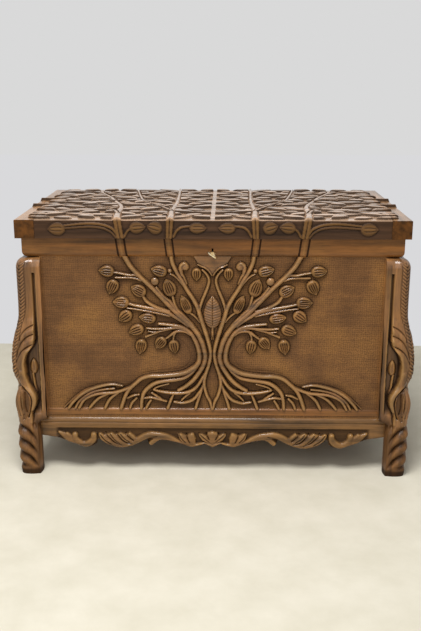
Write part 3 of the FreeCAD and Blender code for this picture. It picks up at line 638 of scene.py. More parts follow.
TREE_STRANDS = (
    # Lower branch into the outer trunk strand and the top root
    (((140, 415), (105, 411), (77, 405), (58, 391), (45, 370), (37, 348), (34, 325), (38, 306), (52, 292),
      (80, 278), (130, 271), (165, 270), (188, 263), (206, 248), (224, 230), (236, 205), (245, 178)),
     (8, 11, 14, 15, 14, 12, 12, 11), 9.5),
    # Outer branch into the middle trunk strand and a root
    (((231, 606), (212, 570), (187, 541), (156, 511), (127, 480), (97, 448), (65, 418), (45, 397), (29, 368),
      (21, 340), (19, 322), (24, 302), (34, 283), (52, 258), (72, 241), (90, 230)),
     (15, 13, 13, 14, 15, 15, 13, 10), 9.0),
    (((145, 512), (128, 490), (110, 475), (97, 456), (82, 444), (62, 424), (50, 411)), (7, 9, 7), 7.0),
    # Inner branch into the inner trunk strand and the lens of roots
    (((107, 606), (103, 578), (92, 553), (78, 530), (65, 505), (50, 481), (38, 457), (32, 435), (23, 407),
      (14, 378), (7, 350), (5, 330), (10, 302), (17, 280), (22, 255), (20, 235), (14, 214), (6, 198),
      (1, 178)),
     (13, 11, 12, 13, 12, 11, 10, 9), 9.0),
    (((108, 548), (98, 543), (88, 534), (76, 518), (68, 502)), (5, 7, 5), 6.5),
    (((80, 562), (78, 548), (73, 538), (66, 522)), (8, 7, 5), 6.5),
    # Heart-shaped strand under the keyhole
    (((26, 559), (18, 551), (11, 540), (9, 528), (13, 512), (20, 494), (27, 477), (32, 460), (34, 445),
      (33, 430)),
     (6, 9, 9, 8), 7.5),
    (((38, 573), (28, 568), (18, 564), (9, 556), (2, 545)), (4, 6, 5), 6.0),
)

TREE_TWIGS = (
    (((252, 552), (235, 549), (215, 545), (198, 545), (182, 537)), (6, 8, 9), 7.5),
    (((250, 538), (232, 538), (215, 538), (198, 536), (185, 531)), (6, 7, 8), 6.5),
    (((220, 469), (200, 464), (160, 456), (120, 447), (98, 434), (80, 422), (64, 409)), (7, 11, 12, 9), 8.0),
    (((222, 457), (200, 454), (170, 449), (140, 443), (112, 436)), (5, 8, 7), 6.5),
    (((179, 487), (170, 474), (150, 461), (130, 454), (112, 449)), (9, 10, 8), 7.5),
    (((172, 403), (150, 401), (120, 402), (90, 404), (70, 399)), (6, 9, 9), 8.0),
    (((168, 394), (150, 392), (135, 395), (112, 400)), (5, 7, 6), 6.5),
    (((175, 379), (160, 385), (146, 390), (130, 396)), (7, 6, 5), 6.0),
    (((55, 383), (69, 393), (85, 396), (98, 393), (110, 383), (121, 375)), (8, 10, 9, 6), 7.5),
    (((96, 394), (101, 383), (103, 371)), (9, 7, 6), 7.0),
    (((62, 446), (52, 440), (42, 431), (34, 420)), (5, 6, 5), 6.0),
    (((103, 488), (100, 475), (96, 463), (88, 450)), (8, 8, 6), 6.5),
    (((79, 545), (83, 560), (80, 571), (72, 576), (65, 570), (68, 563)), (7, 9, 11, 9, 7), 8.0),
)

TREE_ROOTS = (
    (((215, 241), (235, 231), (262, 223), (300, 220), (325, 213), (345, 200), (358, 178)), (9, 10, 9), 7.5),
    (((240, 242), (265, 246), (290, 243), (320, 234), (345, 221), (362, 207), (377, 191), (386, 178)),
     (6, 10, 11, 9), 8.0),
    (((310, 241), (338, 231), (362, 214), (382, 196), (399, 178)), (3, 5, 4), 2.5),
    (((262, 234), (292, 231), (320, 224), (342, 211), (358, 196), (368, 178)), (6, 9, 8), 6.5),
    (((280, 219), (300, 209), (316, 195), (330, 178)), (8, 9, 8), 6.5),
    (((250, 224), (266, 212), (279, 197), (288, 178)), (8, 9, 9), 6.5),
    (((203, 207), (214, 195), (219, 185), (221, 178)), (7, 8, 8), 6.0),
    (((227, 207), (212, 214), (196, 217)), (6, 7, 5), 5.0),
    (((42, 296), (55, 280), (75, 266), (100, 260), (130, 256), (152, 250), (172, 236), (184, 220), (189, 200),
      (191, 178)), (10, 12, 12, 10), 8.0),
    (((20, 277), (37, 247), (53, 231), (72, 224), (100, 222), (130, 225), (155, 231)), (9, 10, 10, 7), 7.5),
    (((157, 232), (150, 238), (138, 243), (116, 249)), (6, 7, 6), 6.0),
    (((60, 223), (72, 213), (83, 201)), (8, 7, 5), 5.5),
    (((24, 247), (30, 232), (37, 222), (46, 209), (58, 200), (80, 194), (102, 197)), (8, 9, 7), 6.5),
    (((29, 230), (34, 215), (39, 200), (45, 178)), (8, 9, 9), 6.0),
    (((105, 217), (112, 200), (120, 178)), (7, 9, 9), 5.5),
    (((184, 207), (165, 209), (150, 206), (123, 198)), (6, 8, 6), 5.5),
    (((162, 222), (150, 214), (138, 206)), (6, 8, 5), 5.0),
    (((165, 201), (172, 190), (178, 178)), (7, 8, 8), 5.0),
)
ROOT_MOUND = ((24, 178), (398, 178), (376, 202), (345, 221), (300, 238), (240, 238), (212, 248), (180, 262),
              (80, 268), (46, 286), (30, 270))

# Buds: centre, length and width, heading (0 points away from the middle, 90 up), slots
TREE_BUDS = (
    ((273, 555), (40, 29), 5, 3),
    ((259, 513), (40, 31), -65, 4),
    ((192, 504), (42, 31), 28, 4),
    ((238, 472), (42, 30), 2, 4),
    ((228, 434), (39, 31), -35, 3),
    ((170, 430), (44, 27), 8, 3),
    ((200, 397), (41, 29), -20, 3),
    ((188, 352), (40, 29), -80, 4),
    ((137, 362), (37, 28), -50, 4),
    ((101, 352), (37, 27), -100, 3),
    ((138, 556), (42, 28), 15, 3),
    ((112, 512), (47, 33), 70, 4),
    ((70, 467), (52, 25), 66, 4),
    ((41, 547), (33, 24), -90, 3),
)
BUD_MATT = 0.27
TREE_KNOBS = (((149, 528), 11.0, 6.5), ((110, 556), 6.0, 5.0), ((70, 567), 10.5, 7.5))
TRUNK_ECHO = ((126, 384), (92, 374), (66, 352), (57, 325), (66, 302), (92, 289), (150, 284), (185, 277))
KEYHOLE_SHIELD = ((0, 606), (52, 606), (47, 590), (38, 576), (22, 567), (8, 556), (0, 545))


# The front tree's and the narrower side trees' grid steps, spread, thickness, and size and rise of buds
PANEL_STEP = 1.43
SIDE_PANEL_STEP = 1.9
FRONT_TREE = (1.0, 1.0, (1.06, 1.1), 9.0)
SIDE_TREE = (0.52, 0.8, (0.7, 0.7), 6.0)
SHIELD_RISE = 2.5
CENTRE_LEAF = ((0, 447), (90, 46), 90, 6.5)
CENTRE_STEM = ((0, 408), (1, 390), (2, 372))


def draw_branches(relief, spread, thickness, bud_scale, bud_rise):
    """Half of a tree's roots, twigs, strands and buds, from the middle outwards."""
    for points, widths, rise in TREE_ROOTS + TREE_TWIGS + TREE_STRANDS:
        line = [(spread * u, z) for u, z in points]
        relief.ridge(line, [thickness * width for width in widths], thickness * rise)
    for (u, z), (length, width), heading, slots in TREE_BUDS:
        size = (bud_scale[0] * length, bud_scale[1] * width)
        relief.leaf((spread * u, z), size, heading, bud_rise, slots, matt=BUD_MATT)


def draw_front_tree(relief):
    """Half of the front panel's tree, with the shield, knobs, middle leaf and hollows round it, darkened with
    painted shade.
    """
    relief.plate(KEYHOLE_SHIELD, SHIELD_RISE)
    draw_branches(relief, *FRONT_TREE)
    for centre, radius, rise in TREE_KNOBS:
        relief.knob(centre, radius, rise)
    relief.leaf(*CENTRE_LEAF, slots=0, veins=13)
    relief.ridge(CENTRE_STEM, widths=(6, 5, 4), rise=5.0)
    # Painted shade on the ground near the figures and in the root mound
    relief.sink_ground(depth=2.0, cells=7, gloom=0.42)
    relief.hollow_out(ROOT_MOUND, depth=2.4, gloom=0.5)
    relief.groove(TRUNK_ECHO, width=4.0, depth=1.0)


def front_panel():
    """The carved front panel, as two glued boards."""
    across = lines_between(0, panel_high[0] - PANEL_LAP, step=PANEL_STEP)
    up = lines_between(panel_low[2], panel_high[2] - PANEL_LAP, step=PANEL_STEP)
    relief = Relief(across, up)
    draw_front_tree(relief)
    for name, side in SIDES:
        x, z = np.meshgrid(side * across, up)
        front = np.stack([x, panel_low[1] - relief.height, z], -1)
        points, faces, rim = board(front, (1, panel_high[1]))
        layers = board_layers(relief.layers(wall_gloom=0.3), rim)
        make_piece("tree_panel_" + name, points, faces, layers, wood_across, "carcass", ["panel_front"])


def mirrored(field):
    """A half field with its mirror image before it."""
    return np.hstack([field[:, :0:-1], field])


def side_panels():
    """The two side panels, with the front's tree drawn narrower."""
    half = lines_between(0, side_high[1] - PANEL_LAP, step=SIDE_PANEL_STEP)
    up = lines_between(side_low[2], side_high[2] - PANEL_LAP, step=SIDE_PANEL_STEP)
    relief = Relief(half, up)
    draw_branches(relief, *SIDE_TREE)
    relief.sink_ground(depth=2.0, cells=4)
    across = np.concatenate([-half[:0:-1], half])
    layers = {label: mirrored(field) for label, field in relief.layers(wall_gloom=0.4).items()}
    for name, side in SIDES:
        front = on_face(0, side, across[None], side_high[0] + mirrored(relief.height), up[:, None])
        points, faces, rim = board(front, (0, side * side_low[0]))
        make_piece("side_panel_" + name, points, faces, board_layers(layers, rim), wood_back, "carcass",
                   ["panel_" + name])


# The lid: branches and leaves on top, (distance from the middle, distance from the front edge)

LID_STEP = 1.6
LID_FACE_STEP = 1.25
LID_UNDER_STEP = 8.0
LID_BRANCHES = (
    (((107, -2), (107, 60), (110, 120), (107, 200), (104, 300), (106, 420), (109, 562)), (19, 13, 10, 9)),
    (((110, 122), (135, 180), (165, 240), (198, 300), (218, 400), (240, 545)), (10, 9, 8, 7)),
    (((240, -2), (246, 60), (250, 120), (253, 210), (282, 310), (302, 380), (330, 450), (350, 510)),
     (21, 14, 11, 8)),
    (((247, 80), (264, 130), (300, 172), (345, 196), (400, 218), (450, 229), (500, 230)), (10, 9, 9, 11)),
    (((280, 305), (325, 322), (380, 334), (440, 340), (500, 340)), (9, 9, 11)),
)
LID_LEAF_ROWS = 13
LID_LEAF_COLUMNS = 8
LID_LEAF_WIDTH = 28
# Where a row's first leaf lies and how far every other row is moved on, as shares of a column
LID_LEAF_START = 0.4
LID_ROW_SHIFT = 0.4
# Lengths, rises, tilts and shifts towards the back that the leaves take in turn
LID_LEAF_LENGTHS = (62, 48, 76, 54, 84, 50, 68)
LID_LEAF_RISES = (7.4, 5.6, 6.8, 4.8, 7.2)
LID_LEAF_TILTS = (14, -22, 8, -17, 28, -29, 4)
LID_LEAF_SHIFTS = (0, 6, -5, 3, -7, 5, -3)
LID_CENTRE_GAP = 5
LID_BRANCH_BORDER = 3
LID_BRANCH_RISE = LEAF_RISE - 0.2
# How steep a wall that looks to the front is when painted shade starts on it, and over what span it grows
LID_DARK_WALL = (0.2, 0.3)
# The leaves' field stays this far inside the lid's ends and long edges
LID_END_BORDER = 24
LID_LONG_BORDER = 10
LID_FIELD = (LID_HALF_WIDTH - LID_END_BORDER, LID_HALF_DEPTH - LID_LONG_BORDER)

# The lid's front edge: (distance from the middle, height), widths, rise
LID_EDGE_STROKES = (
    (((372, 676), (320, 681), (280, 679), (253, 669), (241, 655)), (6, 8, 8), 2.4),
    (((372, 669), (310, 673), (275, 669), (254, 658), (243, 645)), (6, 7, 6), 1.7),
    (((227, 641), (230, 660), (235, 692)), (10, 10, 11), 2.8),
    (((237, 641), (240, 660), (245, 692)), (10, 10, 11), 2.8),
    (((222, 648), (214, 662), (204, 670)), (7, 7, 6), 2.2),
    (((114, 641), (113, 665), (112, 692)), (9, 9, 10), 2.8),
    (((106, 641), (104, 665), (102, 692)), (9, 9, 10), 2.8),
    (((98, 648), (90, 663), (78, 672), (58, 675)), (7, 8, 6), 2.4),
)
LID_EDGE_RISE = 2.4
LID_EDGE_LEAVES = (
    ((393, 667), (46, 34), 0),
    ((188, 671), (42, 31), 175),
    ((146, 671), (40, 34), 15),
    ((36, 670), (44, 29), 180),
)
# How strong the painted highlight on the front edge's raised strokes is
LID_EDGE_PAINTED_HIGHLIGHT = 0.8
LID_JOINT_INSET = 0.4
LID_SIDE_RIDGES = (230, 340)
LID_UNDER_MATT = 0.45
LID_FACE_MATT = 0.95
# Clearances round the hardware let into the lid, and how deep its cuts go
SEAT_FIT = 0.2
BOLT_FIT = 0.6
BOLT_POCKET_DEPTH = 12.0
HINGE_LEAF_DEPTH = 2.5
KNUCKLE_ROOM = 5.5
CUT_EDGE = 0.02

lid_u = lines_between(0, LID_END_JOINT, LID_HALF_WIDTH - LID_EDGE_BEVEL, step=LID_STEP)
lid_y = lines_between(-LID_HALF_DEPTH + LID_EDGE_BEVEL, -LID_RAIL_JOINT, LID_RAIL_JOINT,
                      LID_HALF_DEPTH - LID_EDGE_BEVEL, step=LID_STEP)
lid_face = lines_between(LID_BOTTOM, LID_GROUND - LID_EDGE_BEVEL, step=LID_FACE_STEP)


def in_turn(values, index):
    """One of a row of values that are taken in turn."""
    return values[index % len(values)]


def lid_leaf(relief, row, column):
    """One leaf of the lid's rows and columns."""
    field_u, field_y = LID_FIELD
    length = in_turn(LID_LEAF_LENGTHS, row + 2 * column)
    step = column + LID_LEAF_START + LID_ROW_SHIFT * (row % 2)
    u = min(field_u / LID_LEAF_COLUMNS * step, field_u - length / 2)
    y = 2 * field_y / LID_LEAF_ROWS * (row + 0.5) - field_y + in_turn(LID_LEAF_SHIFTS, 2 * row + column)
    heading = in_turn(LID_LEAF_TILTS, 3 * row + 5 * column) + 180 * ((row + column) % 2)
    slots = (row + 2 * column) % 3 // 2
    rise = in_turn(LID_LEAF_RISES, row + 3 * column)
    relief.leaf((u, y), (length, LID_LEAF_WIDTH), heading, rise, slots, slot_depth=2.0, fullness=6.5)


def lid_carving():
    """Half of the lid's top, from the middle outwards."""
    relief = Relief(lid_u, lid_y)
    for row in range(LID_LEAF_ROWS):
        for column in range(LID_LEAF_COLUMNS):
            lid_leaf(relief, row, column)
    relief.clear(((0, -LID_HALF_DEPTH), (0, LID_HALF_DEPTH)), (2 * LID_CENTRE_GAP,))
    for points, widths in LID_BRANCHES:
        line = [(u, v - LID_HALF_DEPTH) for u, v in points]
        relief.clear(line, [width + LID_BRANCH_BORDER for width in widths])
        relief.ridge(line, widths, LID_BRANCH_RISE)
    # Painted shade on the walls that look to the front, and near the figures
    relief.gloom = share_of(np.gradient(relief.height, relief.up, axis=0), *LID_DARK_WALL)
    relief.sink_ground(depth=0.0, cells=6, gloom=0.15)
    return relief


def lid_edge_carving():
    """Half of the lid's front edge."""
    relief = Relief(lid_u[lid_u <= LID_END_JOINT], lid_face)
    for points, widths, rise in LID_EDGE_STROKES:
        relief.ridge(points, widths, rise)
    for centre, size, heading in LID_EDGE_LEAVES:
        relief.leaf(centre, size, heading, LID_EDGE_RISE, slots=2, slot_depth=1.3)
    # Painted shade round the front edge's figures
    relief.sink_ground(depth=0.9, cells=2, gloom=0.6)
    joint = LID_END_JOINT - LID_JOINT_INSET
    relief.groove(((joint, LID_BOTTOM), (joint, LID_GROUND)), width=2.0, depth=1.2)
    return relief


def lid_side_carving():
    """The lid's end edge with the two branches that run over it."""
    relief = Relief(lid_y, lid_face)
    for v in LID_SIDE_RIDGES:
        y = v - LID_HALF_DEPTH
        relief.ridge(((y, LID_BOTTOM - 2), (y, LID_GROUND + 2)), widths=(15, 12), rise=2.6)
    relief.sink_ground(depth=0.9, cells=2)
    return relief


def around(values):
    """Each value twice, a hair before and after, in order."""
    return sorted({round(value + shift, 3) for value in values for shift in (-CUT_EDGE, CUT_EDGE)})


def hardware_cuts():
    """Cuts for the strike plate and bolt in the front rail and for the hinges in the back one.

    Each is its limits along the rail, its near and far limit from the lid's middle, and its depth.
    """
    bolt_low, bolt_high = corners("lock_bolt")
    seat = (strike_high[0] + SEAT_FIT, -strike_high[1] - SEAT_FIT, -strike_low[1] + SEAT_FIT,
            strike_high[2] - LID_BOTTOM)
    pocket = (bolt_high[0] + BOLT_FIT, -bolt_high[1] - BOLT_FIT, -bolt_low[1] + BOLT_FIT, BOLT_POCKET_DEPTH)
    strike_cuts = [(-half, half, near, far, depth) for half, near, far, depth in (seat, pocket)]
    middle = (hinge_pin_low[1] + hinge_pin_high[1]) / 2
    hinge_cuts = [
        (hinge_low[0] - SEAT_FIT, hinge_high[0] + SEAT_FIT, hinge_low[1] - SEAT_FIT, hinge_pin_low[1],
         HINGE_LEAF_DEPTH),
        (hinge_pin_low[0] - SEAT_FIT, hinge_pin_high[0] + SEAT_FIT, middle - KNUCKLE_ROOM,
         middle + KNUCKLE_ROOM, KNUCKLE_ROOM),
    ]
    hinge_cuts += [(-high, -low, near, far, depth) for low, high, near, far, depth in hinge_cuts]
    return strike_cuts, hinge_cuts


def cut_heights(stations, under, cuts):
    """How far each place of a bar's underside is moved out, which is negative inside its cuts."""
    moved = np.zeros((len(stations), len(under)))
    for low, high, near, far, depth in cuts:
        inside = ((stations > low) & (stations < high))[:, None] & ((under > near) & (under < far))
        moved = np.where(inside, -depth, moved)
    return moved


def lid_bar(name, node, finish, stations, reach, cuts, face, face_places, top, top_places, place):
    """A bar of the lid's frame: underside with cuts, carved outer face, bevel and carved top.

    reach is how far its inner and outer side lie from the lid's middle, and the grid lines of its top
    between them. top_places turns (along, out) into places on the lid's top, and place puts
    (along, out, up) in the frame.
    """
    inner, outer, top_lines = reach
    breaks = around([limit for cut in cuts for limit in cut[2:4]])
    under = lines_between(inner, *breaks, outer, step=LID_UNDER_STEP)
    rise = lid_face[1:]
    loop = np.concatenate([
        np.stack([under, np.full(len(under), LID_BOTTOM)], -1),
        np.stack([np.full(len(rise), outer), rise], -1),
        np.stack([top_lines[::-1], np.full(len(top_lines), LID_GROUND)], -1),
    ])
    sides = (len(under), len(rise), len(top_lines))
    normals = np.repeat([(0.0, -1.0), (1.0, 0.0), (0.0, 1.0)], sides, axis=0)
    bottom = cut_heights(stations, under, cuts)
    plain = np.zeros_like(bottom)
    on_edge = np.meshgrid(face_places, rise, indexing="ij")
    on_top = np.broadcast_arrays(*top_places(stations[:, None], top_lines[::-1][None]))
    offsets = np.hstack([bottom, face.read(face.height, *on_edge), top.read(top.height, *on_top)])
    points, faces = swept(stations, loop, normals, offsets)
    # Painted shade of the edge and top, and a painted highlight on the edge's raised strokes
    shades = face.layers(wall_gloom=0.3)["hollow"]
    lit = face.figure * np.clip(face.height / LID_EDGE_RISE, 0, 1) ** 2
    matt = np.tile(np.repeat([LID_FACE_MATT, LID_FACE_MATT, 0.0], sides), (len(stations), 1))
    matt[[0, -1]] = LID_FACE_MATT
    layers = {
        "hollow": np.hstack([plain, face.read(shades, *on_edge), top.read(top.gloom, *on_top)]),
        "ridge": np.hstack([plain, LID_EDGE_PAINTED_HIGHLIGHT * face.read(lit, *on_edge), np.zeros(on_top[0].shape)]),
        "matt": matt,
    }
    make_piece(name, place(points), faces, layers, finish, "lid", [node])


def lid_panels(top):
    """The lid's carved panel, in two halves."""
    panel_u = lid_u <= LID_END_JOINT
    panel_y = np.abs(lid_y) <= LID_RAIL_JOINT
    part = np.ix_(panel_y, panel_u)
    # Painted shade of the walls that look to the front
    layers = {"hollow": top.gloom[part], "matt": np.zeros_like(top.gloom[part])}
    for name, side in SIDES:
        x, y = np.meshgrid(side * lid_u[panel_u], lid_y[panel_y])
        front = np.stack([x, y, LID_GROUND + top.height[part]], -1)
        points, faces, rim = board(front, (2, batten_high[2]))
        make_piece("lid_carving_" + name, points, faces, board_layers(layers, rim, LID_UNDER_MATT),
                   wood_lid_painted_sheen, "lid", ["lid_panel"])


def lid_rails(top):
    """The lid's front rail with its carved edge and its plain back rail."""
    front_edge = lid_edge_carving()
    back_edge = Relief(front_edge.across, lid_face)
    strike_cuts, hinge_cuts = hardware_cuts()
    reach = (LID_RAIL_JOINT, LID_HALF_DEPTH, lid_y[lid_y >= LID_RAIL_JOINT])
    half = lid_u[lid_u <= LID_END_JOINT]
    rails = (("front", -1, front_edge, strike_cuts), ("back", 1, back_edge, hinge_cuts))
    for name, side, edge, cuts in rails:
        ends = around([limit for cut in cuts for limit in cut[:2]])
        stations = np.union1d(np.concatenate([-half, half]), ends)
        lid_bar("lid_rail_%s_carved" % name, "lid_rail_" + name, wood_lid_painted_sheen, stations, reach, cuts,
                edge, np.abs(stations), top, lambda x, out, side=side: (np.abs(x), side * out),
                lambda p, side=side: np.stack([p[:, 0], side * p[:, 1], p[:, 2]], -1))


def lid_ends(top):
    """The lid's two ends, with the branches that run over them."""
    edge = lid_side_carving()
    reach = (LID_END_JOINT, LID_HALF_WIDTH, lid_u[lid_u >= LID_END_JOINT])
    stations = np.concatenate([[-LID_HALF_DEPTH], lid_y, [LID_HALF_DEPTH]])
    for name, side in SIDES:
        lid_bar("lid_end_%s_carved" % name, "lid_end_" + name, wood_lid_end, stations, reach, [],
                edge, stations, top, lambda y, out: (out, y),
                lambda p, side=side: np.stack([side * p[:, 1], p[:, 0], p[:, 2]], -1))


def carved_lid():
    """The lid's panel, rails and ends, which share one carved top."""
    top = lid_carving()
    lid_panels(top)
    lid_rails(top)
    lid_ends(top)


# The rail under the lid: branches that cross it, as places at its top and foot, and widths

CROWN_ROUND = 16.0
CROWN_CROSSINGS = ((236, 229, 17), (113, 107, 15))
CROWN_SIDE_CROSSING = (55, 55, 15)
CROWN_BRANCH_RISE = 2.6
# The flat border beside each branch gets painted shade in place of a cut
CROWN_BRANCH_BORDER = 4.5
CROWN_BORDER_RISE = 0.25
CROWN_BRANCH_STEP = 1.6
# How far round the rail's lower edge a branch runs, and how deep its back lies in the rail's round
CROWN_BRANCH_TURN = 62
CROWN_TURN_POINTS = 16
CROWN_ACROSS_POINTS = 25
CROWN_BRANCH_BACK = 2.5


def crown_branch(name, axis, side, crossing, way):
    """A branch lying over the crown rail, with painted shade on a flat border along both sides where cuts
    would be.
    """
    top, low, width = crossing
    out = crown_high[0] if axis == 0 else -crown_low[1]
    turn = np.radians(np.linspace(0, CROWN_BRANCH_TURN, CROWN_TURN_POINTS))
    flat = lines_between(crown_low[2] + CROWN_ROUND, crown_high[2], step=CROWN_BRANCH_STEP)[:0:-1]
    z = np.concatenate([flat, crown_low[2] + CROWN_ROUND * (1 - np.sin(turn))])
    reach = np.concatenate([np.full(len(flat), out), out - CROWN_ROUND * (1 - np.cos(turn))])
    normal_out = np.concatenate([np.ones(len(flat)), np.cos(turn)])
    normal_up = np.concatenate([np.zeros(len(flat)), -np.sin(turn)])
    half = width / 2 + CROWN_BRANCH_BORDER
    aside = np.linspace(-half, half, CROWN_ACROSS_POINTS)
    share = np.clip(np.abs(aside) * 2 / width, 0, 1)
    rise = np.maximum(CROWN_BRANCH_RISE * np.sqrt(1 - share ** 2), CROWN_BORDER_RISE)
    centre = way * (low + (top - low) * (z - crown_low[2]) / (crown_high[2] - crown_low[2]))
    up = np.minimum(z[:, None] + rise * normal_up[:, None], crown_high[2])
    front = on_face(axis, side, centre[:, None] + aside, reach[:, None] + rise * normal_out[:, None], up)
    points, faces, rim = board(front, (axis, side * (out - CROWN_ROUND + CROWN_BRANCH_BACK)))
    # Painted shade on the border beside the branch and a painted highlight along its crest
    layers = {"hollow": np.broadcast_to(share >= 1, up.shape),
              "ridge": np.broadcast_to((1 - share) ** 2 / 2, up.shape)}
    make_piece(name, points, faces, board_layers(layers, rim), wood_rail, "carcass", [])


def crown_branches():
    """The branches over the front and the side rails."""
    for name, side in SIDES:
        for index, crossing in enumerate(CROWN_CROSSINGS):
            crown_branch("crown_branch_%s_%d" % (name, index), 1, -1, crossing, side)
        for end, way in (("front", -1), ("back", 1)):
            crown_branch("crown_branch_%s_%s" % (name, end), 0, side, CROWN_SIDE_CROSSING, way)


# Legs: distances from the inner edge of the post, heights from the floor

LEG_STEP = 1.3
LEG_GRID_WIDTH = 88
LEG_GRID_STEP = 1.1
LEG_TOP_SWELL = 5.0
LEG_SWELL = ((0, 16), (20, 18), (60, 20.5), (120, 20.5), (150, 17), (175, 18.5), (207, 21), (235, 16),
             (251, 10.5), (268, 13), (287, 18), (324, 21), (355, 18), (385, 14), (424, 7.5),
             (460, LEG_TOP_SWELL), (600, LEG_TOP_SWELL))
LEG_CORNER_RADIUS = ((0, 14), (150, 14), (207, 14), (250, 16), (324, 18), (380, 23), (440, 28), (600, 29))
LEG_NOSE_EDGE = ((0, 37), (165, 37), (186, 31), (203, 24), (219, 23), (232, 27), (245, 36), (258, 43),
                 (275, 47), (300, 49), (322, 48), (340, 42), (352, 33), (362, 26), (375, 22), (395, 21),
                 (600, 21))
# Points of a leg's section on each outer face, round its corner and on each inner face
LEG_FACE_POINTS = 46
LEG_CORNER_POINTS = 27
LEG_INNER_POINTS = 15
# The shank under the post: how far it is set in, how round it is, and the heights where both end
LEG_SHANK_INSET = 21.0
LEG_SHANK_TOP = (144, 162)
LEG_ROUND_SHARE = 0.4
LEG_ROUND_SIZE = 1.07
LEG_ROUND_TOP = (138, 166)
# The rounded shoulder at the post's head: its height and how far it draws in
LEG_SHOULDER = 26.0
LEG_SHOULDER_INSET = 19.0
# The plain strip beside the panel and the slot between it and the nose
LEG_STRIP = 14.0
LEG_STRIP_FOOT = (104, 196)
LEG_SLOT_DEPTH = 10.0
LEG_SLOT_FOOT = (168, 188)
LEG_SLOT_HEAD = (551, 555)
LEG_SLOT_EDGE = 0.8
# Heights over which the nose's face comes to lean back
LEG_LEAN = (415, 465)
# Where the nose's wall and the lean of its face start and end, from the nose's edge
LEG_NOSE_WALL = (-2.6, 1.4)
LEG_LEAN_REACH = (-3, 18)
# How much painted shade the slot gets at its foot, how far it fades above that and deepens again, and at
# which heights
LEG_SLOT_GLOOM = (0.75, 0.5, 0.25)
LEG_SLOT_PALE = (225, 250)
LEG_SLOT_DARK = (350, 390)
# Painted shade where the post meets the shank: height and spread, darkness, and where it fades across
LEG_KNEE = (148, 15)
LEG_KNEE_GLOOM = 0.7
LEG_KNEE_REACH = (26, 38)
# The big leaf's hollow: how deep it is and how much painted shade it gets
LEG_HOLLOW_DEPTH = 6.0
LEG_HOLLOW_GLOOM = 0.6
# The rope bead's half width and its turn towards the front, by height, and where it starts and ends
ROPE_HALF = ((0, 9.5), (390, 9.5), (440, 11), (480, 12.5), (600, 12.5))
ROPE_TURN = ((0, -0.04), (380, -0.04), (430, 0.1), (480, 0.22), (600, 0.22))
ROPE_FOOT = (258, 280)
ROPE_HEAD = (574, 588)
ROPE_PITCH = 9.2
# Painted shade between the rope's turns
ROPE_GLOOM = 0.8
# The bead's least and further rise and how sharp its notches are
ROPE_LEAST = 0.5
ROPE_RISE = 3.4
ROPE_SHARPNESS = 0.8
# Cuts along the bead's middle (depth, half width) and beside it (depth, distance, half width)
ROPE_SEAM = (1.2, 1.2)
ROPE_SIDE_CUT = (0.8, 0.5, 1.4)
# The twisted foot: where it starts and ends, how matt it is, its grooves with painted shade in them, and the
# painted shadow on its sole
FOOT_BASE = (14, 28)
FOOT_TOP = (138, 150)
FOOT_MATT = 0.28
FOOT_PITCH = 37.5
FOOT_START = -4.2
FOOT_DEPTH = 12.0
FOOT_SHARPNESS = 1.1
FOOT_INNER_EDGE = (LEG_SHANK_INSET + 2, LEG_SHANK_INSET + 20)
FOOT_GLOOM = 0.95
FOOT_SOLE = (10, 24)
FOOT_SOLE_GLOOM = 0.9
# The grooves bend down over this stretch towards the leg's inner side
FOOT_BEND = 2.6
FOOT_BEND_REACH = (58, 21)
# Acanthus lobes under the straight post and the stem that winds down from them: middle lines and widths
LEG_LOBE_RISE = 3.4
LEG_LOBES = (
    (((66, 344), (61, 368), (52, 385), (40, 397), (24, 405)), (7, 13, 16, 15, 12)),
    (((72, 316), (66, 338), (55, 358), (42, 370), (26, 379)), (7, 13, 16, 15, 12)),
    (((74, 288), (69, 312), (62, 331), (52, 344), (40, 350), (31, 352)), (8, 13, 16, 14, 8)),
    (((60, 290), (58, 268), (54, 254), (44, 241), (33, 228), (30, 211), (34, 190), (41, 165)),
     (15, 16, 16, 15, 12, 9, 7)),
)
# Flutes between the lobes and streaks along the big leaf, each with its depth
LEG_CUT_WIDTH = 5.0
LEG_CUTS = (
    (((59, 378), (57, 388), (51, 397), (44, 404), (35, 411), (23, 417)), 3.2),
    (((68, 334), (62, 356), (54, 371), (47, 380), (38, 387), (24, 393)), 3.2),
    (((73, 306), (69, 320), (63, 334), (56, 346), (47, 355), (38, 361), (26, 366)), 3.2),
    (((62, 243), (64, 228), (64, 210), (63, 191), (60, 170)), 3.0),
    (((71, 245), (74, 230), (75, 210), (73, 190), (68, 168)), 3.0),
    (((54, 232), (54, 214), (54, 196), (51, 178)), 3.0),
)
LEG_BUD = ((29.5, 301), (44, 20), 90, 9.0)
LEG_BUD_STEM = ((33, 281), (31, 262), (29, 246), (24, 230))
# The edge between the winding stem and the big leaf, and the leaf's hollow
LEG_STEM_CUT = ((72, 268), (66, 254), (55, 243), (43, 230), (36, 212), (39, 190), (46, 165))
LEG_LEAF_HOLLOW = ((59, 246), (53, 231), (50, 212), (51, 192), (54, 173), (58, 160))


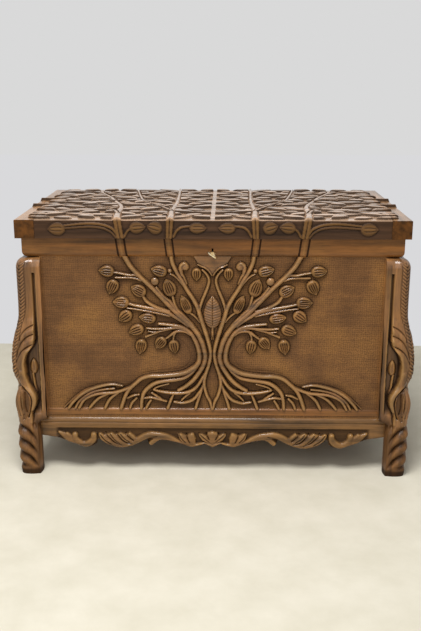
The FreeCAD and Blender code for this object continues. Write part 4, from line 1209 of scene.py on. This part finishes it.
def leg_outline(z):
    """Section points at every height and their normals, round from the front face's inner edge."""
    outer = POST + curve_through(LEG_SWELL, z)
    lift = np.clip((z - leg_high[2] + LEG_SHOULDER) / LEG_SHOULDER, 0, 1)
    outer = (outer - LEG_SHOULDER_INSET * (1 - np.sqrt(1 - lift ** 2)))[:, None]
    inner = (LEG_SHANK_INSET * (1 - eased(z, *LEG_SHANK_TOP)))[:, None]
    radius = curve_through(LEG_CORNER_RADIUS, z)[:, None]
    turn = np.linspace(0, math.pi / 2, LEG_CORNER_POINTS)[None]
    face = inner + (outer - radius - inner) * np.linspace(0, 1, LEG_FACE_POINTS)[None]
    curve = outer - radius + radius * np.sin(turn)
    inside = inner + (outer - inner) * np.linspace(0, 1, LEG_INNER_POINTS)[None]
    outer_side = outer + np.zeros((1, LEG_FACE_POINTS - 1))
    inner_side = inner + np.zeros((1, LEG_INNER_POINTS - 1))
    a = np.hstack([face[:, :-1], curve, outer_side, inside[:, -2::-1], inner_side[:, 1:]])
    b = np.hstack([outer_side, curve[:, ::-1], face[:, -2::-1], inner_side, inside[:, 1:-1]])
    flat = np.zeros(LEG_FACE_POINTS - 1)
    within = np.zeros(2 * LEG_INNER_POINTS - 3)
    normal_a = np.concatenate([flat, np.sin(turn[0]), flat + 1, within])
    normal_b = np.concatenate([flat + 1, np.cos(turn[0]), flat, within])
    middle = (inner + outer) / 2
    round_share = LEG_ROUND_SHARE * (1 - eased(z, *LEG_ROUND_TOP))[:, None]
    distance = np.hypot(a - middle, b - middle)
    circle = (outer - inner) / 2 * LEG_ROUND_SIZE / distance
    scale = 1 + round_share * (circle - 1)
    radial_a = (a - middle) / distance
    radial_b = (b - middle) / distance
    a = middle + (a - middle) * scale
    b = middle + (b - middle) * scale
    normal_a = normal_a + round_share * (radial_a - normal_a)
    normal_b = normal_b + round_share * (radial_b - normal_b)
    before = face - (outer - radius)
    start = (curve_through(ROPE_TURN, z) - math.pi / 4)[:, None]
    far_away = np.full((len(z), len(within)), 99.0)
    strand = np.hstack([before[:, :-1] + start * radius, (turn + start) * radius,
                        (math.pi / 2 + start) * radius - before[:, -2::-1], far_away])
    return a, b, normal_a, normal_b, strand, np.arctan2(radial_b, radial_a)


def leg_face(z):
    """Reliefs of a leg's nose, of the hollow in its big leaf and of the bud in its slot."""
    grid = np.arange(0, LEG_GRID_WIDTH, LEG_GRID_STEP)
    nose = Relief(grid, z)
    for points, widths in LEG_LOBES:
        nose.ridge(points, widths, LEG_LOBE_RISE)
    nose.height = blurred(nose.height, 1)
    for line, depth in LEG_CUTS:
        nose.groove(line, LEG_CUT_WIDTH, depth)
    nose.groove(LEG_STEM_CUT, width=6.0, depth=5.0)
    hollow = Relief(grid, z)
    hollow.ridge(LEG_LEAF_HOLLOW, widths=(8, 18, 20, 16, 8), rise=1.0)
    nose.height -= LEG_HOLLOW_DEPTH * hollow.height
    inset = Relief(grid, z)
    inset.leaf(*LEG_BUD, slots=1, slot_depth=2.0)
    inset.ridge(LEG_BUD_STEM, widths=(7, 7, 6), rise=8.0)
    return nose, hollow, inset


def rope_bead(z, strand):
    """How far the rope bead on a leg's ridge stands out, and the painted shade between its turns."""
    height = z[:, None]
    half = curve_through(ROPE_HALF, z)[:, None]
    bead = np.sqrt(np.clip(1 - (strand / half) ** 2, 0, 1))
    notch = np.abs(np.sin(math.pi * (height - np.abs(strand)) / ROPE_PITCH)) ** ROPE_SHARPNESS
    depth, width = ROPE_SEAM
    rope = bead * (ROPE_LEAST + ROPE_RISE * notch) - depth * np.exp(-(strand / width) ** 2)
    depth, distance, width = ROPE_SIDE_CUT
    rope = rope - depth * np.exp(-((np.abs(strand) - half - distance) / width) ** 2)
    roped = eased(height, *ROPE_FOOT) * (1 - eased(height, *ROPE_HEAD))
    return rope * roped, ROPE_GLOOM * roped * (bead > 0) * (1 - notch)


def twisted_foot(z, seen, round_angle):
    """How deep the grooves round a leg's foot are, the painted shade in them and the painted shadow on the
    sole.
    """
    height = z[:, None]
    start, end = FOOT_BEND_REACH
    inward = np.clip((start - seen) / (start - end), 0, 1)
    bend = FOOT_BEND * inward ** 2 * np.sign(round_angle - math.pi / 4)
    turn = round_angle + bend + math.pi * (height - FOOT_START) / FOOT_PITCH
    lobes = np.abs(np.sin(turn)) ** FOOT_SHARPNESS - 1
    foot = eased(height, *FOOT_BASE) * (1 - eased(height, *FOOT_TOP))
    foot = foot * eased(seen, *FOOT_INNER_EDGE)
    sole = FOOT_SOLE_GLOOM * (1 - eased(height, *FOOT_SOLE))
    return FOOT_DEPTH * lobes * foot, np.maximum(FOOT_GLOOM * foot * lobes ** 2, sole)


def leg_carving(z, seen, strand, round_angle):
    """How far a leg's surface stands out of its section, and the painted shade of its deep places and sole.
    """
    height = z[:, None]
    tall = np.broadcast_to(height, seen.shape)
    swell = curve_through(LEG_SWELL, z)[:, None]
    nose_edge = curve_through(LEG_NOSE_EDGE, z)[:, None]
    nose, hollow, inset = leg_face(z)
    strip = -swell * eased(height, *LEG_STRIP_FOOT)
    window = eased(height, *LEG_SLOT_FOOT) * (1 - eased(height, *LEG_SLOT_HEAD))
    slot = eased(seen, LEG_STRIP - LEG_SLOT_EDGE, LEG_STRIP + LEG_SLOT_EDGE) * window
    floor = -swell - LEG_SLOT_DEPTH + inset.read(inset.height, seen, tall)
    on_nose = eased(seen, *(nose_edge + shift for shift in LEG_NOSE_WALL))
    leaning = 1 - eased(seen, *(nose_edge + shift for shift in LEG_LEAN_REACH))
    lean = LEG_TOP_SWELL * leaning * eased(height, *LEG_LEAN)
    carved = (1 - on_nose) * (strip * (1 - slot) + floor * slot)
    carved = carved + on_nose * (nose.read(nose.height, seen, tall) - lean)
    rope, rope_gloom = rope_bead(z, strand)
    foot, foot_gloom = twisted_foot(z, seen, round_angle)
    bare = 1 - inset.read(inset.figure, seen, tall)
    dark, fade, deepen = LEG_SLOT_GLOOM
    slot_gloom = dark - fade * eased(height, *LEG_SLOT_PALE) + deepen * eased(height, *LEG_SLOT_DARK)
    knee, knee_height = LEG_KNEE
    # Painted shade of the rope, slot, leaf hollow, foot and knee, and painted shadow on the sole
    gloom = np.maximum.reduce([
        rope_gloom,
        slot_gloom * (1 - on_nose) * slot * bare,
        LEG_HOLLOW_GLOOM * on_nose * hollow.read(hollow.height, seen, tall),
        foot_gloom,
        LEG_KNEE_GLOOM * np.exp(-((height - knee) / knee_height) ** 2) * (1 - eased(seen, *LEG_KNEE_REACH)),
    ])
    return carved + rope + foot, gloom


def carved_legs():
    """Four legs, the same carving mirrored to each corner."""
    z = lines_between(0, leg_high[2], step=LEG_STEP)
    a, b, normal_a, normal_b, strand, round_angle = leg_outline(z)
    offset, gloom = leg_carving(z, np.minimum(a, b), strand, round_angle)
    layers = shading_layers(offset, np.zeros_like(offset))
    layers["hollow"] = np.maximum(layers["hollow"], gloom)
    layers["matt"] = np.broadcast_to(FOOT_MATT * (1 - eased(z, *FOOT_TOP))[:, None], offset.shape)
    x = np.minimum(leg_low[0] + a + normal_a * offset, leg_high[0])
    y = np.minimum(leg_low[1] + b + normal_b * offset, leg_high[1])
    faces = capped(*x.shape)
    for end, way in (("front", -1), ("rear", 1)):
        for name, side in SIDES:
            node = "leg_%s_%s" % (end, name)
            points = np.stack(np.broadcast_arrays(side * x, way * y, z[:, None]), -1).reshape(-1, 3)
            make_piece(node + "_carved", points, faces, layers, wood_upright, "carcass", [node])


# Aprons: (distance from the middle, height), widths, rise

APRON_LOWER_EDGE = ((0, 69), (21, 80), (28, 77), (55, 70), (65, 73), (95, 84), (130, 91), (148, 87),
                    (157, 79), (164, 75), (171, 79), (178, 91), (190, 85), (210, 76), (245, 67), (280, 76),
                    (309, 92), (315, 78), (338, 68), (360, 74), (400, 88), (420, 95), (467, 103))
SIDE_APRON_LOWER_EDGE = ((0, 69), (21, 79), (53, 69.5), (93, 89), (126, 93), (171, 69), (217, 89), (252, 103))
APRON_STROKES = (
    # Scroll beside the leg and its lobes
    (((414, 110), (402, 102), (389, 91), (372, 79)), (8, 16, 18, 14), 5.0),
    (((393, 104), (384, 95), (374, 84)), (12, 16, 12), 5.5),
    (((372, 102), (371, 92), (363, 82), (347, 75), (331, 81), (322, 92), (321, 102)),
     (17, 19, 19, 18, 19, 19, 17), 7.0),
    # Fan leaf
    (((303, 103), (295, 94), (280, 81), (257, 71), (236, 71)), (12, 20, 22, 18, 12, 9), 6.5),
    (((273, 104), (265, 95), (250, 81), (229, 75)), (12, 20, 21, 16, 11), 7.0),
    (((248, 104), (240, 97), (227, 86), (209, 80)), (12, 19, 19, 15, 11), 7.0),
    (((223, 106), (217, 99), (208, 91)), (9, 14, 11), 6.0),
    # Winding stem, its curl and the lobes of the last leaf
    (((243, 71), (222, 77), (204, 87), (184, 98), (166, 103), (148, 101), (128, 98), (107, 91), (84, 79),
      (60, 73)), (8, 14, 18, 19, 20, 22, 20, 15, 11, 9), 7.5),
    (((140, 94), (152, 90), (162, 83), (168, 77)), (9, 13, 15, 13), 6.5),
    (((86, 103), (81, 95), (70, 83), (58, 74)), (12, 19, 19, 15, 10), 6.5),
    (((55, 103), (57, 95), (56, 85), (49, 75)), (14, 22, 21, 16, 10), 7.0),
    (((32, 103), (23, 96), (10, 87)), (10, 19, 14), 6.5),
    (((0, 104), (0, 95), (0, 85)), (22, 24, 18), 7.0),
    (((58, 74), (40, 76), (24, 80), (12, 77), (0, 74)), (10, 8, 7, 10), 5.5),
)
# The bodies under the lobes of the fan, the last leaf and the middle flower
APRON_BODIES = (
    ((309, 106), (301, 90), (283, 74), (245, 62), (215, 74), (204, 92), (214, 104), (226, 108), (237, 104),
     (252, 108), (262, 104), (277, 108), (290, 104)),
    ((94, 106), (88, 90), (64, 68), (46, 68), (44, 95), (50, 108), (62, 108), (70, 102), (82, 108)),
    ((38, 106), (25, 90), (2, 64), (-2, 64), (-2, 112), (12, 112), (16, 102), (28, 108)),
)
APRON_CUTS = (
    ((289, 108), (281, 96), (266, 83), (246, 74)),
    ((260, 108), (252, 97), (238, 84), (218, 77)),
    ((234, 107), (227, 98), (214, 87)),
    ((303, 103), (292, 89), (274, 76)),
    ((275, 104), (266, 91), (252, 79)),
    ((248, 105), (239, 94), (224, 83)),
    ((182, 86), (169, 95), (150, 100)),
    ((90, 105), (83, 93), (73, 83)),
    ((70, 106), (68, 95), (62, 83)),
    ((36, 107), (23, 96), (9, 84)),
    ((17, 108), (13, 99), (9, 91)),
)
APRON_STEP = 1.6
APRON_GRID_STEPS = (1.3, 1.2)
APRON_GRID_FOOT = 60
# Heights of the plain band over the carving and of the fine line on it, and where the carving ends
APRON_BAND = 123.0
APRON_LEDGE = 138.0
APRON_CARVED_END = (414, 426)
# Rises, cuts (width and depth), sunk ground and fine line of the carving, and the painted shade on the sunk
# ground
APRON_BODY_RISE = 3.5
APRON_CUT = (4.0, 3.4)
APRON_SINK = 4.5
APRON_BAND_EDGE = 2.5
APRON_LEDGE_DEPTH = 1.8
APRON_LEDGE_WIDTH = 1.4
APRON_GLOOM = 0.75
# The lower edge's drop and rounding, the rows up the face, and the rounded nose and step at the top
APRON_DROP = 2.5
APRON_EDGE = 4.0
APRON_ROWS = 60
APRON_NOSE = 10.0
APRON_NOSE_FOOT = 17.0
# Turns of the lower edge and of the nose in degrees: first, last and number of points
APRON_EDGE_TURN = (0, 80, 5)
APRON_NOSE_TURN = (8, 60, 8)
APRON_STEP_BACK = 13.0
APRON_STEP_HEIGHT = 5.0
SIDE_APRON_SHARE = 0.54


def apron_carving(share):
    """Half of an apron's face, drawn along a share of the front one's length."""
    def drawn(points):
        return [(u * share, z) for u, z in points]

    across_step, up_step = APRON_GRID_STEPS
    across = np.arange(0, (apron_high[0] + 1) * share, across_step)
    relief = Relief(across, np.arange(APRON_GRID_FOOT, apron_high[2] + 1, up_step))
    for outline in APRON_BODIES:
        relief.plate(drawn(outline), APRON_BODY_RISE)
    for points, widths, rise in APRON_STROKES:
        relief.ridge(drawn(points), widths, rise)
    for line in APRON_CUTS:
        relief.groove(drawn(line), *APRON_CUT)
    z = relief.up[:, None]
    carved_end = eased(relief.across[None] / share, *APRON_CARVED_END)
    sunk = (1 - relief.figure) * eased(APRON_BAND - z, 0, APRON_BAND_EDGE) * (1 - carved_end)
    ledge = np.exp(-((z - APRON_LEDGE) / APRON_LEDGE_WIDTH) ** 2)
    relief.height -= APRON_SINK * sunk + APRON_LEDGE_DEPTH * ledge
    # Painted shade on the sunk ground
    relief.gloom = APRON_GLOOM * sunk
    return relief


def carved_apron(name, axis, side, half_length, face, lower_edge, share, finish):
    """An apron: back, underside, rounded lower edge, carved face and rounded top, along its length."""
    relief = apron_carving(share)
    layers = relief.layers(wall_gloom=0.25)
    along = lines_between(-half_length, half_length, step=APRON_STEP)
    low = curve_through(lower_edge, np.abs(along))[:, None] - APRON_DROP
    level = np.zeros_like(low)
    top = apron_high[2]
    back = face - (apron_high[1] - apron_low[1])
    turn = np.radians(np.linspace(*APRON_EDGE_TURN))
    nose = np.radians(np.linspace(*APRON_NOSE_TURN))
    nose_foot = top - APRON_NOSE_FOOT
    step = face - APRON_STEP_BACK
    out = np.concatenate([[back, back], face - APRON_EDGE * (1 - np.sin(turn)), np.full(APRON_ROWS, face),
                          face - APRON_NOSE * (1 - np.cos(nose)), [step, step]])
    up = np.hstack([
        top + level,
        low,
        low + APRON_EDGE * (1 - np.cos(turn))[None],
        low + APRON_EDGE + (nose_foot - low - APRON_EDGE) * np.linspace(0, 1, APRON_ROWS)[None],
        nose_foot + APRON_NOSE * np.sin(nose)[None] + level,
        top - APRON_STEP_HEIGHT + level,
        top + level,
    ])
    place = np.broadcast_to(np.abs(along)[:, None], up.shape)
    weight = np.concatenate([[0, 0], np.sin(turn), np.ones(APRON_ROWS), np.cos(nose), [0, 0]])
    offset = relief.read(relief.height, place, up) * weight
    points = on_face(axis, side, along[:, None], out + offset, up).reshape(-1, 3)
    shades = {label: relief.read(layers[label], place, up) * (weight > 0) for label in ("hollow", "ridge")}
    make_piece(name + "_carved", points, capped(*up.shape), shades, finish, "carcass", [name])


def carved_aprons():
    """The front apron and the two shorter side ones."""
    carved_apron("apron_front", 1, -1, apron_high[0], -apron_low[1], APRON_LOWER_EDGE, 1.0, wood_apron)
    for name, side in SIDES:
        carved_apron("apron_" + name, 0, side, side_apron_high[1], side_apron_high[0],
                     SIDE_APRON_LOWER_EDGE, SIDE_APRON_SHARE, wood_apron_back)


front_panel()
side_panels()
carved_lid()
crown_branches()
carved_legs()
carved_aprons()


# Stage, light and camera

WORLD_LIGHT = 0.42
BACKDROP = paint(217, 217, 219)
STAGE_HALF = 9.0
FLOOR_END = 0.85
# Lights: place in metres, turn in degrees, size in metres and power in watts
LIGHTS = {
    "top_light": ((-0.3, -1.3, 2.8), (18, 0, 0), 1.1, 74),
    "front_light": ((-0.8, -3.6, 2.0), (64, 0, -12), 2.4, 20),
}
CAMERA_PLACE = (0.0341, -2.4148, 1.0474)
CAMERA_YAW = 1.05
CAMERA_PITCH = 15.84
CAMERA_LENS = 49.0
CAMERA_SENSOR = 36.0


def floor_finish():
    """Pale, softly mottled floor."""
    finish = Finish("floor_finish", {"Specular IOR Level": 0.1})
    clouds = finish.noise(finish.place(), 9.0, 5.0, 0.6)
    shade = finish.mix(finish.ramp(clouds, 0.3, 0.75), paint(221, 215, 198), paint(208, 202, 183))
    return finish.surface(shade, 0.9, clouds, 0.1, 0.01)


def backdrop_finish():
    """Ground behind the floor, which the camera sees as a plain pale backdrop."""
    constants = {"Base Color": BACKDROP, "Specular IOR Level": 0.1, "Roughness": 0.9}
    finish = Finish("far_ground_finish", constants)
    glow = finish.node("ShaderNodeEmission", {}, {"Color": BACKDROP, "Strength": 1.0})
    plain = Signal(finish, finish.shader.outputs[0])
    either = finish.node("ShaderNodeMixShader", {}, {0: finish.in_sight(), 1: plain, 2: glow})
    finish.connect(either, finish.tree.nodes["Material Output"].inputs["Surface"])
    return finish.material


def stage_plane(name, near, far, finish):
    """A flat piece of the studio's ground, from a near to a far edge."""
    outline = ((-STAGE_HALF, near), (STAGE_HALF, near), (STAGE_HALF, far), (-STAGE_HALF, far))
    mesh = bpy.data.meshes.new(name)
    mesh.from_pydata([(x, y, 0) for x, y in outline], [], [(0, 1, 2, 3)])
    mesh.materials.append(finish)
    plane = placed(name, mesh)


def soft_light(name, place, turn, size, power):
    """A square soft light."""
    lamp = bpy.data.lights.new(name, "AREA")
    lamp.size = size
    lamp.energy = power
    lamp_object = placed(name, lamp)
    lamp_object.location = place
    lamp_object.rotation_euler = [math.radians(angle) for angle in turn]


def build_stage():
    """A pale floor, a plain backdrop, soft lights and an even world."""
    stage_plane("floor", -STAGE_HALF, FLOOR_END, floor_finish())
    stage_plane("far_ground", FLOOR_END, STAGE_HALF, backdrop_finish())
    for name, settings in LIGHTS.items():
        soft_light(name, *settings)
    world = bpy.data.worlds.new("studio")
    world.use_nodes = True
    air = Nodes(world.node_tree)
    background = world.node_tree.nodes["Background"]
    background.inputs["Color"].default_value = (1.0, 1.0, 1.0, 1.0)
    air.connect(air.in_sight() * (BACKDROP[0] - WORLD_LIGHT) + WORLD_LIGHT, background.inputs["Strength"])
    bpy.context.scene.world = world
    bpy.context.scene.view_settings.view_transform = "Standard"


def build_camera():
    """The camera at the photograph's angle."""
    lens = bpy.data.cameras.new("camera")
    lens.lens = CAMERA_LENS
    lens.sensor_width = CAMERA_SENSOR
    camera = placed("camera", lens)
    camera.location = CAMERA_PLACE
    camera.rotation_euler = (math.pi / 2 - math.radians(CAMERA_PITCH), 0, math.radians(CAMERA_YAW))
    bpy.context.scene.camera = camera


def finish_of(node):
    """The finish of a CAD node."""
    if node == "key":
        return brass
    if node.startswith(("hinge", "lock", "strike")) or node.endswith("screws"):
        return iron
    if node.startswith("floor"):
        return inner_across
    if node.startswith("lid_batten"):
        return inner_back
    if node in ("crown_left", "crown_right", "bead_left", "bead_right"):
        return wood_rail_back
    return wood_rail


build_stage()
build_camera()

for node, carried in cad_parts.items():
    carried.data.materials.clear()
    carried.data.materials.append(finish_of(node))
